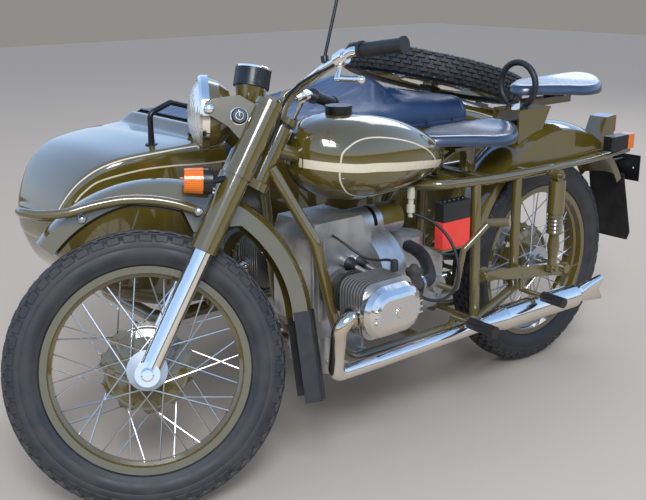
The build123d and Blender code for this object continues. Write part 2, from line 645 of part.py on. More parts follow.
# Fuel tank: rounded sections from nose to tail, as (x, half width, bottom, top)
TANK_SECTIONS = [
    (1000, 34, 772, 868), (965, 88, 728, 902), (860, 138, 690, 918), (700, 136, 694, 896), (580, 104, 716, 846),
    (492, 52, 738, 786),
]
with BuildPart() as fuel_tank:
    for x, half, low, high in TANK_SECTIONS:
        with BuildSketch(Plane(origin=(x, 0, (low + high) / 2), x_dir=(0, 1, 0), z_dir=(1, 0, 0))):
            RectangleRounded(2 * half, high - low, 0.47 * min(2 * half, high - low))
    loft()
    with BuildSketch(Plane(origin=BACKBONE[0], z_dir=Vector(*BACKBONE[1]) - Vector(*BACKBONE[0]))):
        Circle(BACKBONE_R + CLEAR)
    extrude(amount=600, mode=Mode.SUBTRACT)
save(fuel_tank.part, "fuel_tank")

with BuildPart() as filler_cap:
    bar((849, 0, 919), (849, 0, 940), 36)
save(filler_cap.part, "filler_cap")

# Engine and gearbox castings, solid: timing cover, sump, bell housing, generator and intake housing
CYLINDERS = ((1, CYL_X + CYL_OFFSET), (-1, CYL_X - CYL_OFFSET))
BARREL_FROM = 102.0
# Pushrod tubes: how far behind the cylinder, and height at the case
PUSHRODS = ((28.0, 534.0), (66.0, 530.0))
with BuildPart() as engine_case:
    slab([(800, 330), (800, 600), (836, 652), (996, 652), (1014, 610), (1014, 372), (980, 330)], 0, 80)
    block((815, 975), (-88, 88), (226, 332), 30)
    bar((715, 0, 455), (802, 0, 455), 140)
    bar((641, 0, 602), (836, 0, 602), 46)
    bar((850, -109.7, 268), (850, 109.7, 268), 10)
    for side, x in CYLINDERS:
        bar((x, side * 78, CRANK_Z), (x, side * BARREL_FROM, CRANK_Z), 56)
        for behind, height in PUSHRODS:
            bar((x - behind, side * 78, height + 4), (x - behind, side * BARREL_FROM, height), 15)
        for rib_x in (968, 988, 1006):
            bar((rib_x, side * 80, 384), (rib_x, side * 80, 606), 6)
save(engine_case.part, "engine_case")

with BuildPart() as gearbox:
    slab([(502, 330), (502, 470), (560, 508), (714.7, 508), (714.7, 320), (540, 320)], 0, 70)
    bar((626, 22, 500), (626, 22, 552), 60)
    bar((531, 60, 389), (531, 88, 389), 26)
save(gearbox.part, "gearbox")

# Cylinders: dark finned barrels, the left one further forward, notched where the pushrod tubes pass
HEAD_FROM = 205.0
BARREL_R = 61.0
BARREL_CORE = 42.0
FINS_FROM = 144.0
BARREL_FINS = 6
HEAD_SHIFT = 9.0


def fins(start, end, count, thick):
    """Starts of evenly spaced fins, the first and last flush with the ends."""
    return [start + k * (end - thick - start) / (count - 1) for k in range(count)]


with BuildPart() as cylinders:
    for side, x in CYLINDERS:
        low, high = BARREL_FROM + CLEAR, HEAD_FROM - CLEAR
        bar((x, side * low, CRANK_Z), (x, side * high, CRANK_Z), BARREL_CORE)
        for start in fins(FINS_FROM, high, BARREL_FINS, 3.5):
            bar((x, side * start, CRANK_Z), (x, side * (start + 3.5), CRANK_Z), BARREL_R)
        for behind, height in PUSHRODS:
            bar((x - behind, side * (low - 5), height), (x - behind, side * (high + 5), height - 14), 9, Mode.SUBTRACT)
save(cylinders.part, "cylinders")

# Heads: finned round a core, with the pushrod tubes, the intake stub and the exhaust collar
HEAD_TO = 292.0
HEAD_W, HEAD_H = 168.0, 148.0
HEAD_FINS = 9
PORT_Y = 260.0
PORT_Z = 455.0
INTAKE = Vector(112, 245, CRANK_Z + 18)
with BuildPart() as cylinder_heads:
    for side, x in CYLINDERS:
        middle = x + HEAD_SHIFT
        pad(middle, CRANK_Z, HEAD_W - 34, HEAD_H - 34, 20, side * HEAD_FROM, side * HEAD_TO)
        for start in fins(HEAD_FROM, HEAD_TO, HEAD_FINS, 4.0):
            pad(middle, CRANK_Z, HEAD_W, HEAD_H, 34, side * start, side * (start + 4))
        bar((middle - 60, side * INTAKE.Y, INTAKE.Z), (middle - INTAKE.X, side * INTAKE.Y, INTAKE.Z), 22)
        bar((middle + 40, side * PORT_Y, PORT_Z), (middle + 84, side * PORT_Y, PORT_Z), 29)
        for behind, height in PUSHRODS:
            bar((x - behind, side * (BARREL_FROM + 1.6), height), (x - behind, side * (HEAD_FROM + 2), height - 14), 7)
save(cylinder_heads.part, "cylinder_heads")

# Rocker covers: long polished domes with three ribs and a central nut, as (width, height, y) from the head out
COVER_SECTIONS = [
    (188, 132, HEAD_TO + CLEAR), (190, 134, HEAD_TO + 16), (176, 118, COVER_FACE - 14), (150, 92, COVER_FACE - 4),
    (132, 74, COVER_FACE),
]
with BuildPart() as rocker_covers:
    for side, x in CYLINDERS:
        outlines = []
        for width, tall, out in COVER_SECTIONS:
            place = Plane(origin=(x + HEAD_SHIFT, side * out, CRANK_Z), x_dir=(1, 0, 0), z_dir=(0, side, 0))
            with BuildSketch(place) as outline:
                RectangleRounded(width, tall, tall / 2 - 3)
            outlines.append(outline.sketch)
        loft(outlines, ruled=True)
        for rib_z in (-15, 0, 15):
            pad(x + HEAD_SHIFT, CRANK_Z + rib_z, 158, 5, 2.4, side * (COVER_FACE - 12), side * (COVER_FACE + 2))
        bar((x + HEAD_SHIFT, side * (COVER_FACE - 4), CRANK_Z), (x + HEAD_SHIFT, side * (COVER_FACE + 3), CRANK_Z), 12)
save(rocker_covers.part, "rocker_covers")

# Carburettors with float bowls and caps, and rubber hoses from the intake housing
with BuildPart() as carburettors:
    for side, x in CYLINDERS:
        mouth = x + HEAD_SHIFT - INTAKE.X - CLEAR
        bar((mouth, side * INTAKE.Y, INTAKE.Z), (mouth - 50, side * INTAKE.Y, INTAKE.Z), 24)
        bar((mouth - 26, side * INTAKE.Y, INTAKE.Z - 52), (mouth - 26, side * INTAKE.Y, INTAKE.Z - 16), 25)
        bar((mouth - 26, side * INTAKE.Y, INTAKE.Z), (mouth - 26, side * INTAKE.Y, INTAKE.Z + 44), 21)
        bar((mouth - 26, side * INTAKE.Y, INTAKE.Z + 44), (mouth - 26, side * INTAKE.Y, INTAKE.Z + 56), 12)
        tube([(mouth - 48, side * INTAKE.Y, INTAKE.Z), (700, side * 235, INTAKE.Z),
              (664, side * 150, 530), (650, side * 50 + 22, 530)], 18, 25)
    bar((626, 22, 490), (626, 22, 570), 60 + CLEAR, Mode.SUBTRACT)
save(carburettors.part, "carburettors")

# Exhausts: header from the front of each head, turned back under the cylinder into a silencer with a fishtail
PIPE_R = 20.0
PIPE_Y = 178.0
SILENCER_R = 38.0
# Silencer: how far down its axis, and radius there
SILENCER = [(0, 21), (90, SILENCER_R - 2), (96, SILENCER_R), (450, SILENCER_R), (466, SILENCER_R - 8), (480, 27)]
TAIL_X = 442.0
with BuildPart() as exhausts:
    for side, x in CYLINDERS:
        start = x + HEAD_SHIFT + 84 + CLEAR
        tube([(start, side * PORT_Y, PORT_Z), (start + 46, side * PORT_Y, PORT_Z), (start + 16, side * 206, 286),
              (880, side * (PIPE_Y + 4), 270), (TAIL_X - 12, side * PIPE_Y, 268)], PIPE_R, 36)
        bar((start, side * PORT_Y, PORT_Z), (start + 12, side * PORT_Y, PORT_Z), 27)
        axis = Plane(origin=(TAIL_X, side * PIPE_Y, 268), x_dir=(0, 1, 0), z_dir=(-1, -side * 0.008, -0.025))
        with BuildSketch(Plane(origin=axis.origin, x_dir=axis.x_dir, z_dir=-axis.y_dir)) as profile:
            with BuildLine():
                Polyline((0, 0), *[(radius, along) for along, radius in SILENCER], (0, SILENCER[-1][0]), close=True)
            make_face()
        revolve(profile.sketch, axis=Axis(axis.origin, axis.z_dir))
        flare = []
        for along, wide, tall, corner in ((478, 48, 50, 23), (540, 34, 68, 16), (606, 26, 84, 12)):
            with BuildSketch(axis.offset(along)) as section:
                RectangleRounded(wide, tall, corner)
            flare.append(section.sketch)
        loft(flare, ruled=True)
        with BuildSketch(Plane(origin=axis.origin + axis.z_dir * 607, x_dir=axis.z_dir, z_dir=axis.x_dir)) as notch:
            Polygon((0, 33), (0, -33), (-26, 0), align=None)
        extrude(notch.sketch, amount=20, both=True, mode=Mode.SUBTRACT)
save(exhausts.part, "exhausts")

with BuildPart() as battery:
    block((432, 548), (75, 114), (504 + CLEAR, 640), 6)
save(battery.part, "battery")

# Saddles: rubber pans, wide behind and narrow in front, on brackets with a spring block
SADDLE_LAYERS = [(-34, 92, 30), (-12, 138, 56), (8, 140, 60), (24, 124, 48)]
SEAT_FACE = -36.0
SADDLES = [("driver_saddle", Vector(332, 0, 808)), ("pillion_saddle", Vector(-78, 0, 922))]
for saddle_name, saddle_at in SADDLES:
    with BuildPart() as saddle:
        for height, wide, narrow in SADDLE_LAYERS:
            with BuildSketch(Plane(origin=saddle_at + Vector(0, 0, height))):
                with Locations((-18, 0)):
                    Circle(wide)
                with Locations((152 - narrow, 0)):
                    Circle(narrow)
                make_hull()
        loft()
        bar(saddle_at + Vector(0, 0, SEAT_FACE), saddle_at + Vector(0, 0, -26), 34)
    save(saddle.part, saddle_name)

FENDER_SEAT = 428.6
PILLION_PLATE = [(158, 864), (4, 864)]
with BuildPart() as saddle_brackets:
    under = SADDLES[0][1].Z + SEAT_FACE - CLEAR
    bar((470, 0, 705 + CLEAR), (470, 0, 724), 13)
    bar((474, 0, 722), (392, 0, under - 12), 9)
    block((250, 410), (-22, 22), (under - 10, under))
    bar((330, 0, 694 + CLEAR), (330, 0, under - 4), 24)
    for side in (1, -1):
        seat = []
        for x in (40, 65, 90, 115, 140, 158):
            across = x - REAR_FENDER_AT[0]
            seat.append((x, REAR_FENDER_AT[1] + (FENDER_SEAT**2 - across**2) ** 0.5))
        slab(PILLION_PLATE + seat, side * 50, 3)
    block((4, 158), (-53, 53), (858, 864))
    block((-140, 66), (-22, 22), (863, SADDLES[1][1].Z + SEAT_FACE - CLEAR))
save(saddle_brackets.part, "saddle_brackets")

# Grab ring in front of the pillion saddle, facing forward
RING_AT = (108.0, 0.0, 936.0)
RING_R = 68.0
RING_GAP = 28.0
with BuildPart() as grab_ring:
    with BuildLine(mode=Mode.PRIVATE) as hoop:
        CenterArc((0, 0), RING_R, RING_GAP - 90, 360 - 2 * RING_GAP)
    hoop_plane = Plane(origin=RING_AT, x_dir=(0, 1, 0), z_dir=(1, 0, 0))
    route = hoop_plane.from_local_coords(hoop.line)
    with BuildSketch(Plane(origin=route @ 0, z_dir=route % 0)) as ring:
        Circle(10)
    sweep(sections=ring.sketch, path=route)
    for side in (1, -1):
        end = Vector(RING_AT[0], side * RING_R * sin(radians(RING_GAP)), RING_AT[2] - RING_R * cos(radians(RING_GAP)))
        bar((end.X, end.Y, 864 + CLEAR), end + Vector(0, 0, 2), 8)
save(grab_ring.part, "grab_ring")

# Footrests: rubber sleeves on both sides, for the rider on the frame and for the pillion on the swingarm
with BuildPart() as footrests:
    for side in (1, -1):
        bar((522, side * 203, 301), (521, side * 300, 299), 17)
        bar((200, side * 215, PEG_Z), (199, side * 294, PEG_Z - 2), 16)
save(footrests.part, "footrests")

with BuildPart() as kick_starter:
    tube([(531, 88 + CLEAR, 389), (531, 152, 389), (526, 172, 514), (449, 200, 590)], 9, 16)
    bar((452, 196, 588), (424, 252, 596), 13)
save(kick_starter.part, "kick_starter")

# Centre stand, folded back under the engine and gearbox
with BuildPart() as centre_stand:
    for side in (1, -1):
        bar((STAND_AT[0], side * 80, STAND_AT[1]), (STAND_AT[0], side * 100, STAND_AT[1]), 14)
        bar((STAND_AT[0], side * 90, STAND_AT[1]), (164, side * 94, 214), 11)
        bar((178, side * 84, 214), (178, side * 106, 214), 17)
    bar((STAND_AT[0] - 22, -90, STAND_AT[1] - 2), (STAND_AT[0] - 22, 90, STAND_AT[1] - 2), 8)
    for side in (1, -1):
        bar((STAND_AT[0], side * 70, STAND_AT[1]), (STAND_AT[0], side * 110, STAND_AT[1]), 6.05, Mode.SUBTRACT)
save(centre_stand.part, "centre_stand")

# Sidecar chassis: tube loop under the body, cross tubes, wheel arm with stub axle, stays and four struts to the frame
LOOP_Z = 290.0
LOOP_Y = (-430.0, -800.0)
LOOP_X = (-430.0, 1180.0)
LOOP_R = 20.0
ARM_X = 420.0
ARM_SIDE = 94.0 - TRACK
with BuildPart() as sidecar_chassis:
    for end in LOOP_X:
        tube([(ARM_X, LOOP_Y[0], LOOP_Z), (end, LOOP_Y[0], LOOP_Z), (end, LOOP_Y[1], LOOP_Z),
              (ARM_X, LOOP_Y[1], LOOP_Z)], LOOP_R, 60)
    bar((820, LOOP_Y[0], LOOP_Z), (820, LOOP_Y[1], LOOP_Z), LOOP_R - 2)
    bar((ARM_X, LOOP_Y[0] + 22, LOOP_Z), (ARM_X, ARM_SIDE - 20, LOOP_Z), 24)
    bar((ARM_X, ARM_SIDE, LOOP_Z), (SIDECAR_LEAD, ARM_SIDE, TYRE_R), 17)
    bar((SIDECAR_LEAD, ARM_SIDE + 20, TYRE_R), (SIDECAR_LEAD, ARM_SIDE - 20, TYRE_R), 26)
    hub_face = TRACK - HUB_HALF - CLEAR
    bar((SIDECAR_LEAD, ARM_SIDE, TYRE_R), (SIDECAR_LEAD, -hub_face, TYRE_R), 17)
    bar((SIDECAR_LEAD, ARM_SIDE, TYRE_R), (SIDECAR_LEAD, -TRACK - HUB_HALF - 4, TYRE_R), AXLE_R)
    bar((SIDECAR_LEAD, -TRACK - HUB_HALF - CLEAR, TYRE_R), (SIDECAR_LEAD, -TRACK - HUB_HALF - 14, TYRE_R), 17)
    for x in (-110, 548):
        tube([(x, LOOP_Y[1], LOOP_Z), (x, ARM_SIDE - 7, LOOP_Z), (x, ARM_SIDE - 7, TYRE_R + 177)], 9, 40)
    for x in (100, 1000):
        for y in LOOP_Y:
            bar((x, y, LOOP_Z), (x, y, 330 - CLEAR), 24)
    for x in (880, 560):
        tube([(x, -CRADLE_Y, 222), (x, -330, 222), (x, LOOP_Y[0], LOOP_Z)], 15, 40)
        bar((x, -CRADLE_Y, 222), (x, -CRADLE_Y, 262), 15)
    bar((582, -296, 226), (520, -RAIL_Y - 3, 692), 14)
    tube([(330, LOOP_Y[0], LOOP_Z), (330, -312, 262), (213, -109, 560)], 13, 30)
    bar((960, -CRADLE_Y, 268.4), (480, -CRADLE_Y, 263), TUBE_R + 0.8, Mode.SUBTRACT)
    bar((600, -RAIL_Y, 700.2), (440, -RAIL_Y, 690.7), TUBE_R + 0.8, Mode.SUBTRACT)
    bar((224, -RAIL_Y, 682), (206, -100, 306), TUBE_R + 0.8, Mode.SUBTRACT)
save(sidecar_chassis.part, "sidecar_chassis")

# Boot lid's deck plane and its hinge line, which runs down the deck along the lid's right edge
LID_PLANE = Plane(
    origin=(DECK_FRONT[0], BODY_Y, DECK_FRONT[1]), x_dir=(cos(radians(LID_SLOPE)), 0, sin(radians(LID_SLOPE))),
    z_dir=(-sin(radians(LID_SLOPE)), 0, cos(radians(LID_SLOPE))),
)
LID_HALF = 198.0
LID_THICK = 10.0
HINGE_R = 5.0
HINGE_PIN = 2.5
HINGE_SIDE = LID_HALF + HINGE_R + 0.6
HINGE_RISE = HINGE_R + 0.8
# Hinges: where each starts down the deck; a lid knuckle, a body knuckle and a lid knuckle follow each other
HINGES = (50.0, 310.0)
KNUCKLE = 30.0


def hinge_bar(start, end, radius, mode=Mode.ADD):
    """Round bar on the hinge line, from one distance down the deck to another."""
    line = LID_PLANE.offset(HINGE_RISE)
    ends = [line.from_local_coords(Vector(-along, -HINGE_SIDE, 0)) for along in (start, end)]
    bar(*ends, radius, mode)


# Sidecar body: hollow shell through rounded sections, as (x, centre y, half width, bottom, top, corner)
BODY_SECTIONS = [
    (-640, -600, 190, 520, 640, 50), (-450, -610, 255, 400, 720, 60), (0, BODY_Y, 285, 330, 848, 60),
    (1010, -613, 266, 330, 846, 60), (1180, -609, 254, 345, 838, 80), (1290, -606, 232, 378, 818, 84),
    (1365, -604, 203, 420, 786, 84), (1415, -603, 172, 465, 748, 80), (1445, -602, 142, 512, 704, 66),
    (1458, -602, 118, 556, 656, 42),
]
COCKPIT = (-10.0, 960.0)


def body_shell(inset):
    """Loft through the body's sections, pulled in all round by the inset."""
    faces = []
    for index, (x, y, half, low, high, corner) in enumerate(BODY_SECTIONS):
        step = 0.0
        if index in (0, len(BODY_SECTIONS) - 1):
            step = inset if x < 0 else -inset
        place = Plane(origin=(x + step, y, (low + high) / 2), x_dir=(0, 1, 0), z_dir=(1, 0, 0))
        with BuildSketch(place) as section:
            RectangleRounded(2 * (half - inset), high - low - 2 * inset, corner - inset)
        faces.append(section.sketch)
    return loft(faces, ruled=True)


with BuildPart() as sidecar_hollow:
    body_shell(BODY_WALL)
with BuildPart() as sidecar_body:
    body_shell(0)
    add(sidecar_hollow.part, mode=Mode.SUBTRACT)
    with BuildSketch(Plane.XY.offset(780)):
        with Locations(((COCKPIT[0] + COCKPIT[1]) / 2, BODY_Y)):
            Rectangle(COCKPIT[1] - COCKPIT[0], 410)
    extrude(amount=100, mode=Mode.SUBTRACT)
    with BuildSketch(Plane.XY.offset(660)):
        with Locations((-218, BODY_Y)):
            RectangleRounded(330, 330, 30)
    extrude(amount=200, mode=Mode.SUBTRACT)
    for start in HINGES:
        low, high = start + KNUCKLE + CLEAR, start + 2 * KNUCKLE - CLEAR
        with BuildSketch(LID_PLANE.offset(-3)) as foot:
            with Locations((-(low + high) / 2, -HINGE_SIDE - HINGE_R / 2 - 1)):
                Rectangle(high - low, HINGE_R + 2)
        extrude(foot.sketch, amount=HINGE_RISE + 3)
        hinge_bar(low, high, HINGE_R)
        hinge_bar(low - 2, high + 2, HINGE_PIN + 0.05, Mode.SUBTRACT)
save(sidecar_body.part, "sidecar_body")

COVER_OUTLINE = [
    (-20, 848 + CLEAR), (60, 880), (280, 925), (700, 880), (955, 858), (975, 848 + CLEAR),
]
with BuildPart() as sidecar_cover:
    slab(COVER_OUTLINE, BODY_Y, 222)
save(sidecar_cover.part, "sidecar_cover")

# Grab rail on the deck ahead of the cover
RAIL_FEET = (1168.0, 1030.0)


def deck_at(x):
    """Height of the body's top between two of its sections."""
    for (back, _, _, _, low, _), (front, _, _, _, high, _) in zip(BODY_SECTIONS, BODY_SECTIONS[1:]):
        if back <= x <= front:
            return low + (high - low) * (x - back) / (front - back)


with BuildPart() as sidecar_grab_rail:
    front, back = [(x, -440, deck_at(x) + CLEAR + 0.5) for x in RAIL_FEET]
    tube([front, (front[0], -440, 900), (1100, -440, 925), (back[0], -440, 905), back], 8, 20)
save(sidecar_grab_rail.part, "sidecar_grab_rail")

with BuildPart() as sidecar_fender:
    fender((SIDECAR_LEAD, TYRE_R + 7), TYRE_R + 55, 78, 22, 26, 8, 172)
save(sidecar_fender.part.moved(Location((0, -TRACK, 0))), "sidecar_fender")

# Boot lid on the sloping deck, with the post that carries the spare wheel through its hub
with BuildPart() as boot_lid:
    with BuildSketch(LID_PLANE.offset(CLEAR)) as plate:
        with Locations((-226, 0)):
            RectangleRounded(400, 2 * LID_HALF, 30)
    extrude(plate.sketch, amount=LID_THICK)
    for start in HINGES:
        hinge_bar(start, start + 3 * KNUCKLE, HINGE_PIN)
        for low in (start, start + 2 * KNUCKLE):
            hinge_bar(low, low + KNUCKLE, HINGE_R)
            with BuildSketch(LID_PLANE.offset(CLEAR + 3)) as strap:
                with Locations((-low - KNUCKLE / 2, -HINGE_SIDE + 12)):
                    Rectangle(KNUCKLE, 24)
            extrude(strap.sketch, amount=LID_THICK - 1)
    with BuildSketch(LID_PLANE.offset(CLEAR)) as catch:
        with Locations((-226, LID_HALF - 12)):
            RectangleRounded(60, 18, 4)
    extrude(catch.sketch, amount=LID_THICK + 8)
    spare_local = LID_PLANE.to_local_coords(SPARE_AT)
    with BuildSketch(LID_PLANE.offset(CLEAR + 8)) as post:
        with Locations((spare_local.X, 0)):
            Circle(40)
    extrude(post.sketch, amount=spare_local.Z - HUB_HALF - 2 * CLEAR - 8)
    with BuildSketch(LID_PLANE.offset(CLEAR + 8)) as post:
        with Locations((spare_local.X, 0)):
            Circle(AXLE_R)
    extrude(post.sketch, amount=spare_local.Z + HUB_HALF + 10)
    with BuildSketch(LID_PLANE.offset(spare_local.Z + HUB_HALF + CLEAR)) as post:
        with Locations((spare_local.X, 0)):
            Circle(22)
    extrude(post.sketch, amount=8)
save(boot_lid.part, "boot_lid")
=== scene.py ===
# Sidecar motorcycle in olive paint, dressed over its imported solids: a flat twin with shaft drive and a
# single-seat sidecar on its right. Metres, +X forward, +Y the rider's left, +Z up.
import math

import bmesh
import bpy
from mathutils import Matrix, Vector
from mathutils.bvhtree import BVHTree


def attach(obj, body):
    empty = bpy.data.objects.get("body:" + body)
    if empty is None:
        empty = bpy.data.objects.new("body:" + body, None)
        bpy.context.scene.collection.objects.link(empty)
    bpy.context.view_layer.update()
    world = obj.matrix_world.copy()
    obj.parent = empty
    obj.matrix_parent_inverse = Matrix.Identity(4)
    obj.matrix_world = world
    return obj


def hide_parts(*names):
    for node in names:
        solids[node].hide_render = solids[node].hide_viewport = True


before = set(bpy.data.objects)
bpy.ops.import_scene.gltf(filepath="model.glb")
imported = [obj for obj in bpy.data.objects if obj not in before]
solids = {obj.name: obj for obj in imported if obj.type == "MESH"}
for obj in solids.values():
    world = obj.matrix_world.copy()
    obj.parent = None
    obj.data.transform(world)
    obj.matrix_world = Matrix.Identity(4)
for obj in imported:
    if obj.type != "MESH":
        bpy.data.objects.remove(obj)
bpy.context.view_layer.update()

# Camera at the photographer's eye, in front of the machine and to its left, looking down a little. Its place
# and lens come from the wheels, the fork and the tank as the photograph shows them.
CAMERA_PLACE = (2.5148, 1.9365, 1.2970)
CAMERA_YAW = -129.74
CAMERA_PITCH = -16.54
CAMERA_ROLL = -0.244
CAMERA_LENS = 53.49
SENSOR_WIDTH = 36.0

camera = bpy.data.objects.new("camera", bpy.data.cameras.new("camera"))
bpy.context.scene.collection.objects.link(camera)
camera.data.sensor_width = SENSOR_WIDTH
camera.data.lens = CAMERA_LENS
camera.data.clip_end = 100.0
camera.location = CAMERA_PLACE
camera.rotation_euler = (
    Matrix.Rotation(math.radians(CAMERA_YAW - 90), 4, "Z")
    @ Matrix.Rotation(math.radians(90 + CAMERA_PITCH), 4, "X")
    @ Matrix.Rotation(math.radians(CAMERA_ROLL), 4, "Z")
).to_euler()
bpy.context.scene.camera = camera
bpy.context.scene.view_settings.view_transform = "Standard"

# Plain pale floor and a soft sky, brighter above than below, so that chrome and gloss paint have something to
# show. One broad lamp stands above the machine's left and a weaker one behind its right.
FLOOR_HALF = 14.0
FLOOR_COLOUR = (0.53, 0.495, 0.465)
SKY_STRENGTH = 0.66
LAMP_AIM = Vector((0.6, -0.4, 0.5))
# Colours of the sky by height: 0 is straight down, 0.5 the horizon and 1 straight up
PLAIN_SKY = [
    (0.0, (0.42, 0.40, 0.38)), (0.50, (0.42, 0.41, 0.39)), (0.53, (0.74, 0.74, 0.74)),
    (1.0, (0.90, 0.92, 0.95)),
]
# The same for mirrored rays, with a dark line along the horizon
MIRRORED_SKY = [
    (0.0, (0.42, 0.40, 0.37)), (0.503, (0.36, 0.34, 0.31)), (0.508, (0.035, 0.035, 0.03)),
    (0.526, (0.06, 0.06, 0.05)), (0.534, (1.30, 1.55, 1.85)), (0.62, (0.95, 1.40, 2.15)),
    (0.80, (0.52, 0.92, 1.70)), (1.0, (0.38, 0.66, 1.20)),
]


class Value:
    """A shader socket that takes part in Python sums."""

    def __init__(self, finish, out):
        self.finish = finish
        self.out = out

    def math(self, operation, first, second):
        return self.finish.add("ShaderNodeMath", {"operation": operation}, {0: first, 1: second})

    def __add__(self, other):
        return self.math("ADD", self, other)

    def __rsub__(self, other):
        return self.math("SUBTRACT", other, self)

    def __mul__(self, other):
        return self.math("MULTIPLY", self, other)

    def __gt__(self, other):
        return self.math("GREATER_THAN", self, other)

    def __lt__(self, other):
        return self.math("LESS_THAN", self, other)

    __radd__ = __add__
    __rmul__ = __mul__


class Finish:
    """A material and its node tree, with the Principled shader at hand."""

    def __init__(self, name, tree=None):
        if tree is None:
            self.material = bpy.data.materials.new(name)
            self.material.use_nodes = True
            tree = self.material.node_tree
            self.shader = tree.nodes["Principled BSDF"]
        self.tree = tree

    def add(self, kind, settings=None, sockets=None, out=0):
        node = self.tree.nodes.new(kind)
        for name, value in (settings or {}).items():
            if name == "stops":
                ramp = node.color_ramp
                while len(ramp.elements) < len(value):
                    ramp.elements.new(0.5)
                for element, (place, colour) in zip(ramp.elements, value):
                    element.position = place
                    element.color = (*colour, 1.0)
            else:
                setattr(node, name, value)
        self.put(node, sockets or {})
        return Value(self, node.outputs[out])

    def put(self, node, sockets):
        for name, value in sockets.items():
            if isinstance(value, Value):
                self.tree.links.new(value.out, node.inputs[name])
            else:
                node.inputs[name].default_value = value

    def set(self, **sockets):
        self.put(self.shader, {name.replace("_", " "): value for name, value in sockets.items()})

    def place(self):
        """Object coordinates, in metres on the machine."""
        return self.add("ShaderNodeTexCoord", {}, {}, "Object")

    def along(self, axis):
        """One of the object coordinates by itself."""
        return self.add("ShaderNodeSeparateXYZ", {}, {0: self.place()}, axis)

    def sine(self, value):
        return self.add("ShaderNodeMath", {"operation": "SINE"}, {0: value})

    def vector(self, operation, sockets, out=0):
        return self.add("ShaderNodeVectorMath", {"operation": operation}, sockets, out)

    def noise(self, scale, detail=3.0):
        return self.add("ShaderNodeTexNoise", {}, {"Vector": self.place(), "Scale": scale, "Detail": detail})

    def mix(self, factor, first, second):
        sockets = {"Factor": factor}
        for socket, colour in ((6, first), (7, second)):
            sockets[socket] = colour if isinstance(colour, Value) else (*colour, 1.0)
        return self.add("ShaderNodeMix", {"data_type": "RGBA"}, sockets, 2)

    def range(self, value, low, high, to_low, to_high):
        sockets = {"Value": value, 1: low, 2: high, 3: to_low, 4: to_high}
        return self.add("ShaderNodeMapRange", {}, sockets)

    def bump(self, height, strength, distance):
        sockets = {"Height": height, "Strength": strength, "Distance": distance}
        return self.add("ShaderNodeBump", {}, sockets)


floor_mesh = bpy.data.meshes.new("floor")
floor_mesh.from_pydata(
    [(-FLOOR_HALF, -FLOOR_HALF, 0), (FLOOR_HALF, -FLOOR_HALF, 0), (FLOOR_HALF, FLOOR_HALF, 0),
     (-FLOOR_HALF, FLOOR_HALF, 0)], [], [(0, 1, 2, 3)],
)
floor = bpy.data.objects.new("floor", floor_mesh)
bpy.context.scene.collection.objects.link(floor)
pale_floor = Finish("pale_floor")
pale_floor.set(Base_Color=(*FLOOR_COLOUR, 1.0), Roughness=0.9)
floor_mesh.materials.append(pale_floor.material)

sky = bpy.data.worlds.new("sky")
sky.use_nodes = True
bpy.context.scene.world = sky
sky_tree = Finish("sky", sky.node_tree)
upward = sky_tree.add("ShaderNodeTexCoord", {}, {}, "Generated")
height = sky_tree.add("ShaderNodeSeparateXYZ", {}, {0: upward}, 2)
height = height * 0.5 + 0.5
plain_sky = sky_tree.add("ShaderNodeValToRGB", {"stops": PLAIN_SKY}, {0: height})
mirrored_sky = sky_tree.add("ShaderNodeValToRGB", {"stops": MIRRORED_SKY}, {0: height})
mirrored_ray = sky_tree.add("ShaderNodeLightPath", {}, {}, "Is Glossy Ray")
sky_colour = sky_tree.mix(mirrored_ray, plain_sky, mirrored_sky)
sky_tree.put(sky.node_tree.nodes["Background"], {"Color": sky_colour, "Strength": SKY_STRENGTH})


def lamp(name, place, size, power):
    """Soft square lamp aimed at the machine's middle."""
    light = bpy.data.objects.new(name, bpy.data.lights.new(name, "AREA"))
    light.data.shape = "SQUARE"
    light.data.size = size
    light.data.energy = power
    light.location = place
    light.rotation_euler = (LAMP_AIM - Vector(place)).to_track_quat("-Z", "Y").to_euler()
    bpy.context.scene.collection.objects.link(light)


lamp("key_lamp", (3.6, 3.8, 4.6), 2.2, 265.0)
lamp("rear_lamp", (-4.0, -2.5, 4.5), 3.0, 95.0)

# Olive enamel on the tank, the frame, the fork, the fenders and the sidecar: a thick glossy coat with faint
# orange peel, slight changes of shade from panel to panel, and road dust low down.
OLIVE = (0.106, 0.081, 0.010)
OLIVE_DUSTY = (0.165, 0.145, 0.078)
DUST_LOW = 0.18
DUST_HIGH = 0.75


def dress(finish, *names):
    """Gives CAD solids their finish."""
    for name in names:
        for place in solids[name].material_slots:
            place.material = finish.material


def enamel(name, dust):
    """Olive enamel with a share of road dust near the ground."""
    finish = Finish(name)
    patches = finish.noise(5.0, 4.0)
    low_down = finish.range(finish.along(2), DUST_LOW, DUST_HIGH, dust, 0.0)
    grime = low_down * finish.range(patches, 0.35, 0.7, 0.3, 1.0)
    finish.set(
        Base_Color=finish.mix(grime, OLIVE, OLIVE_DUSTY),
        Roughness=finish.range(patches, 0.3, 0.7, 0.15, 0.22) + grime * 0.35,
        Normal=finish.bump(finish.noise(260.0, 2.0), 0.05, 0.001),
        Coat_Weight=1.0,
        Coat_Roughness=0.04,
        Coat_IOR=1.75,
    )
    return finish


olive = enamel("olive_enamel", 0.3)
frame_olive = enamel("olive_frame_enamel", 0.6)
dress(olive, "fuel_tank", "headlamp_bowl", "front_fender", "rear_fender", "sidecar_body", "sidecar_fender",
      "boot_lid", "tail_lamp", "fork_covers", "fork_yoke", "fender_bow")
dress(frame_olive, "main_frame", "swingarm", "rear_shocks", "saddle_brackets", "kick_starter", "centre_stand",
      "sidecar_chassis")

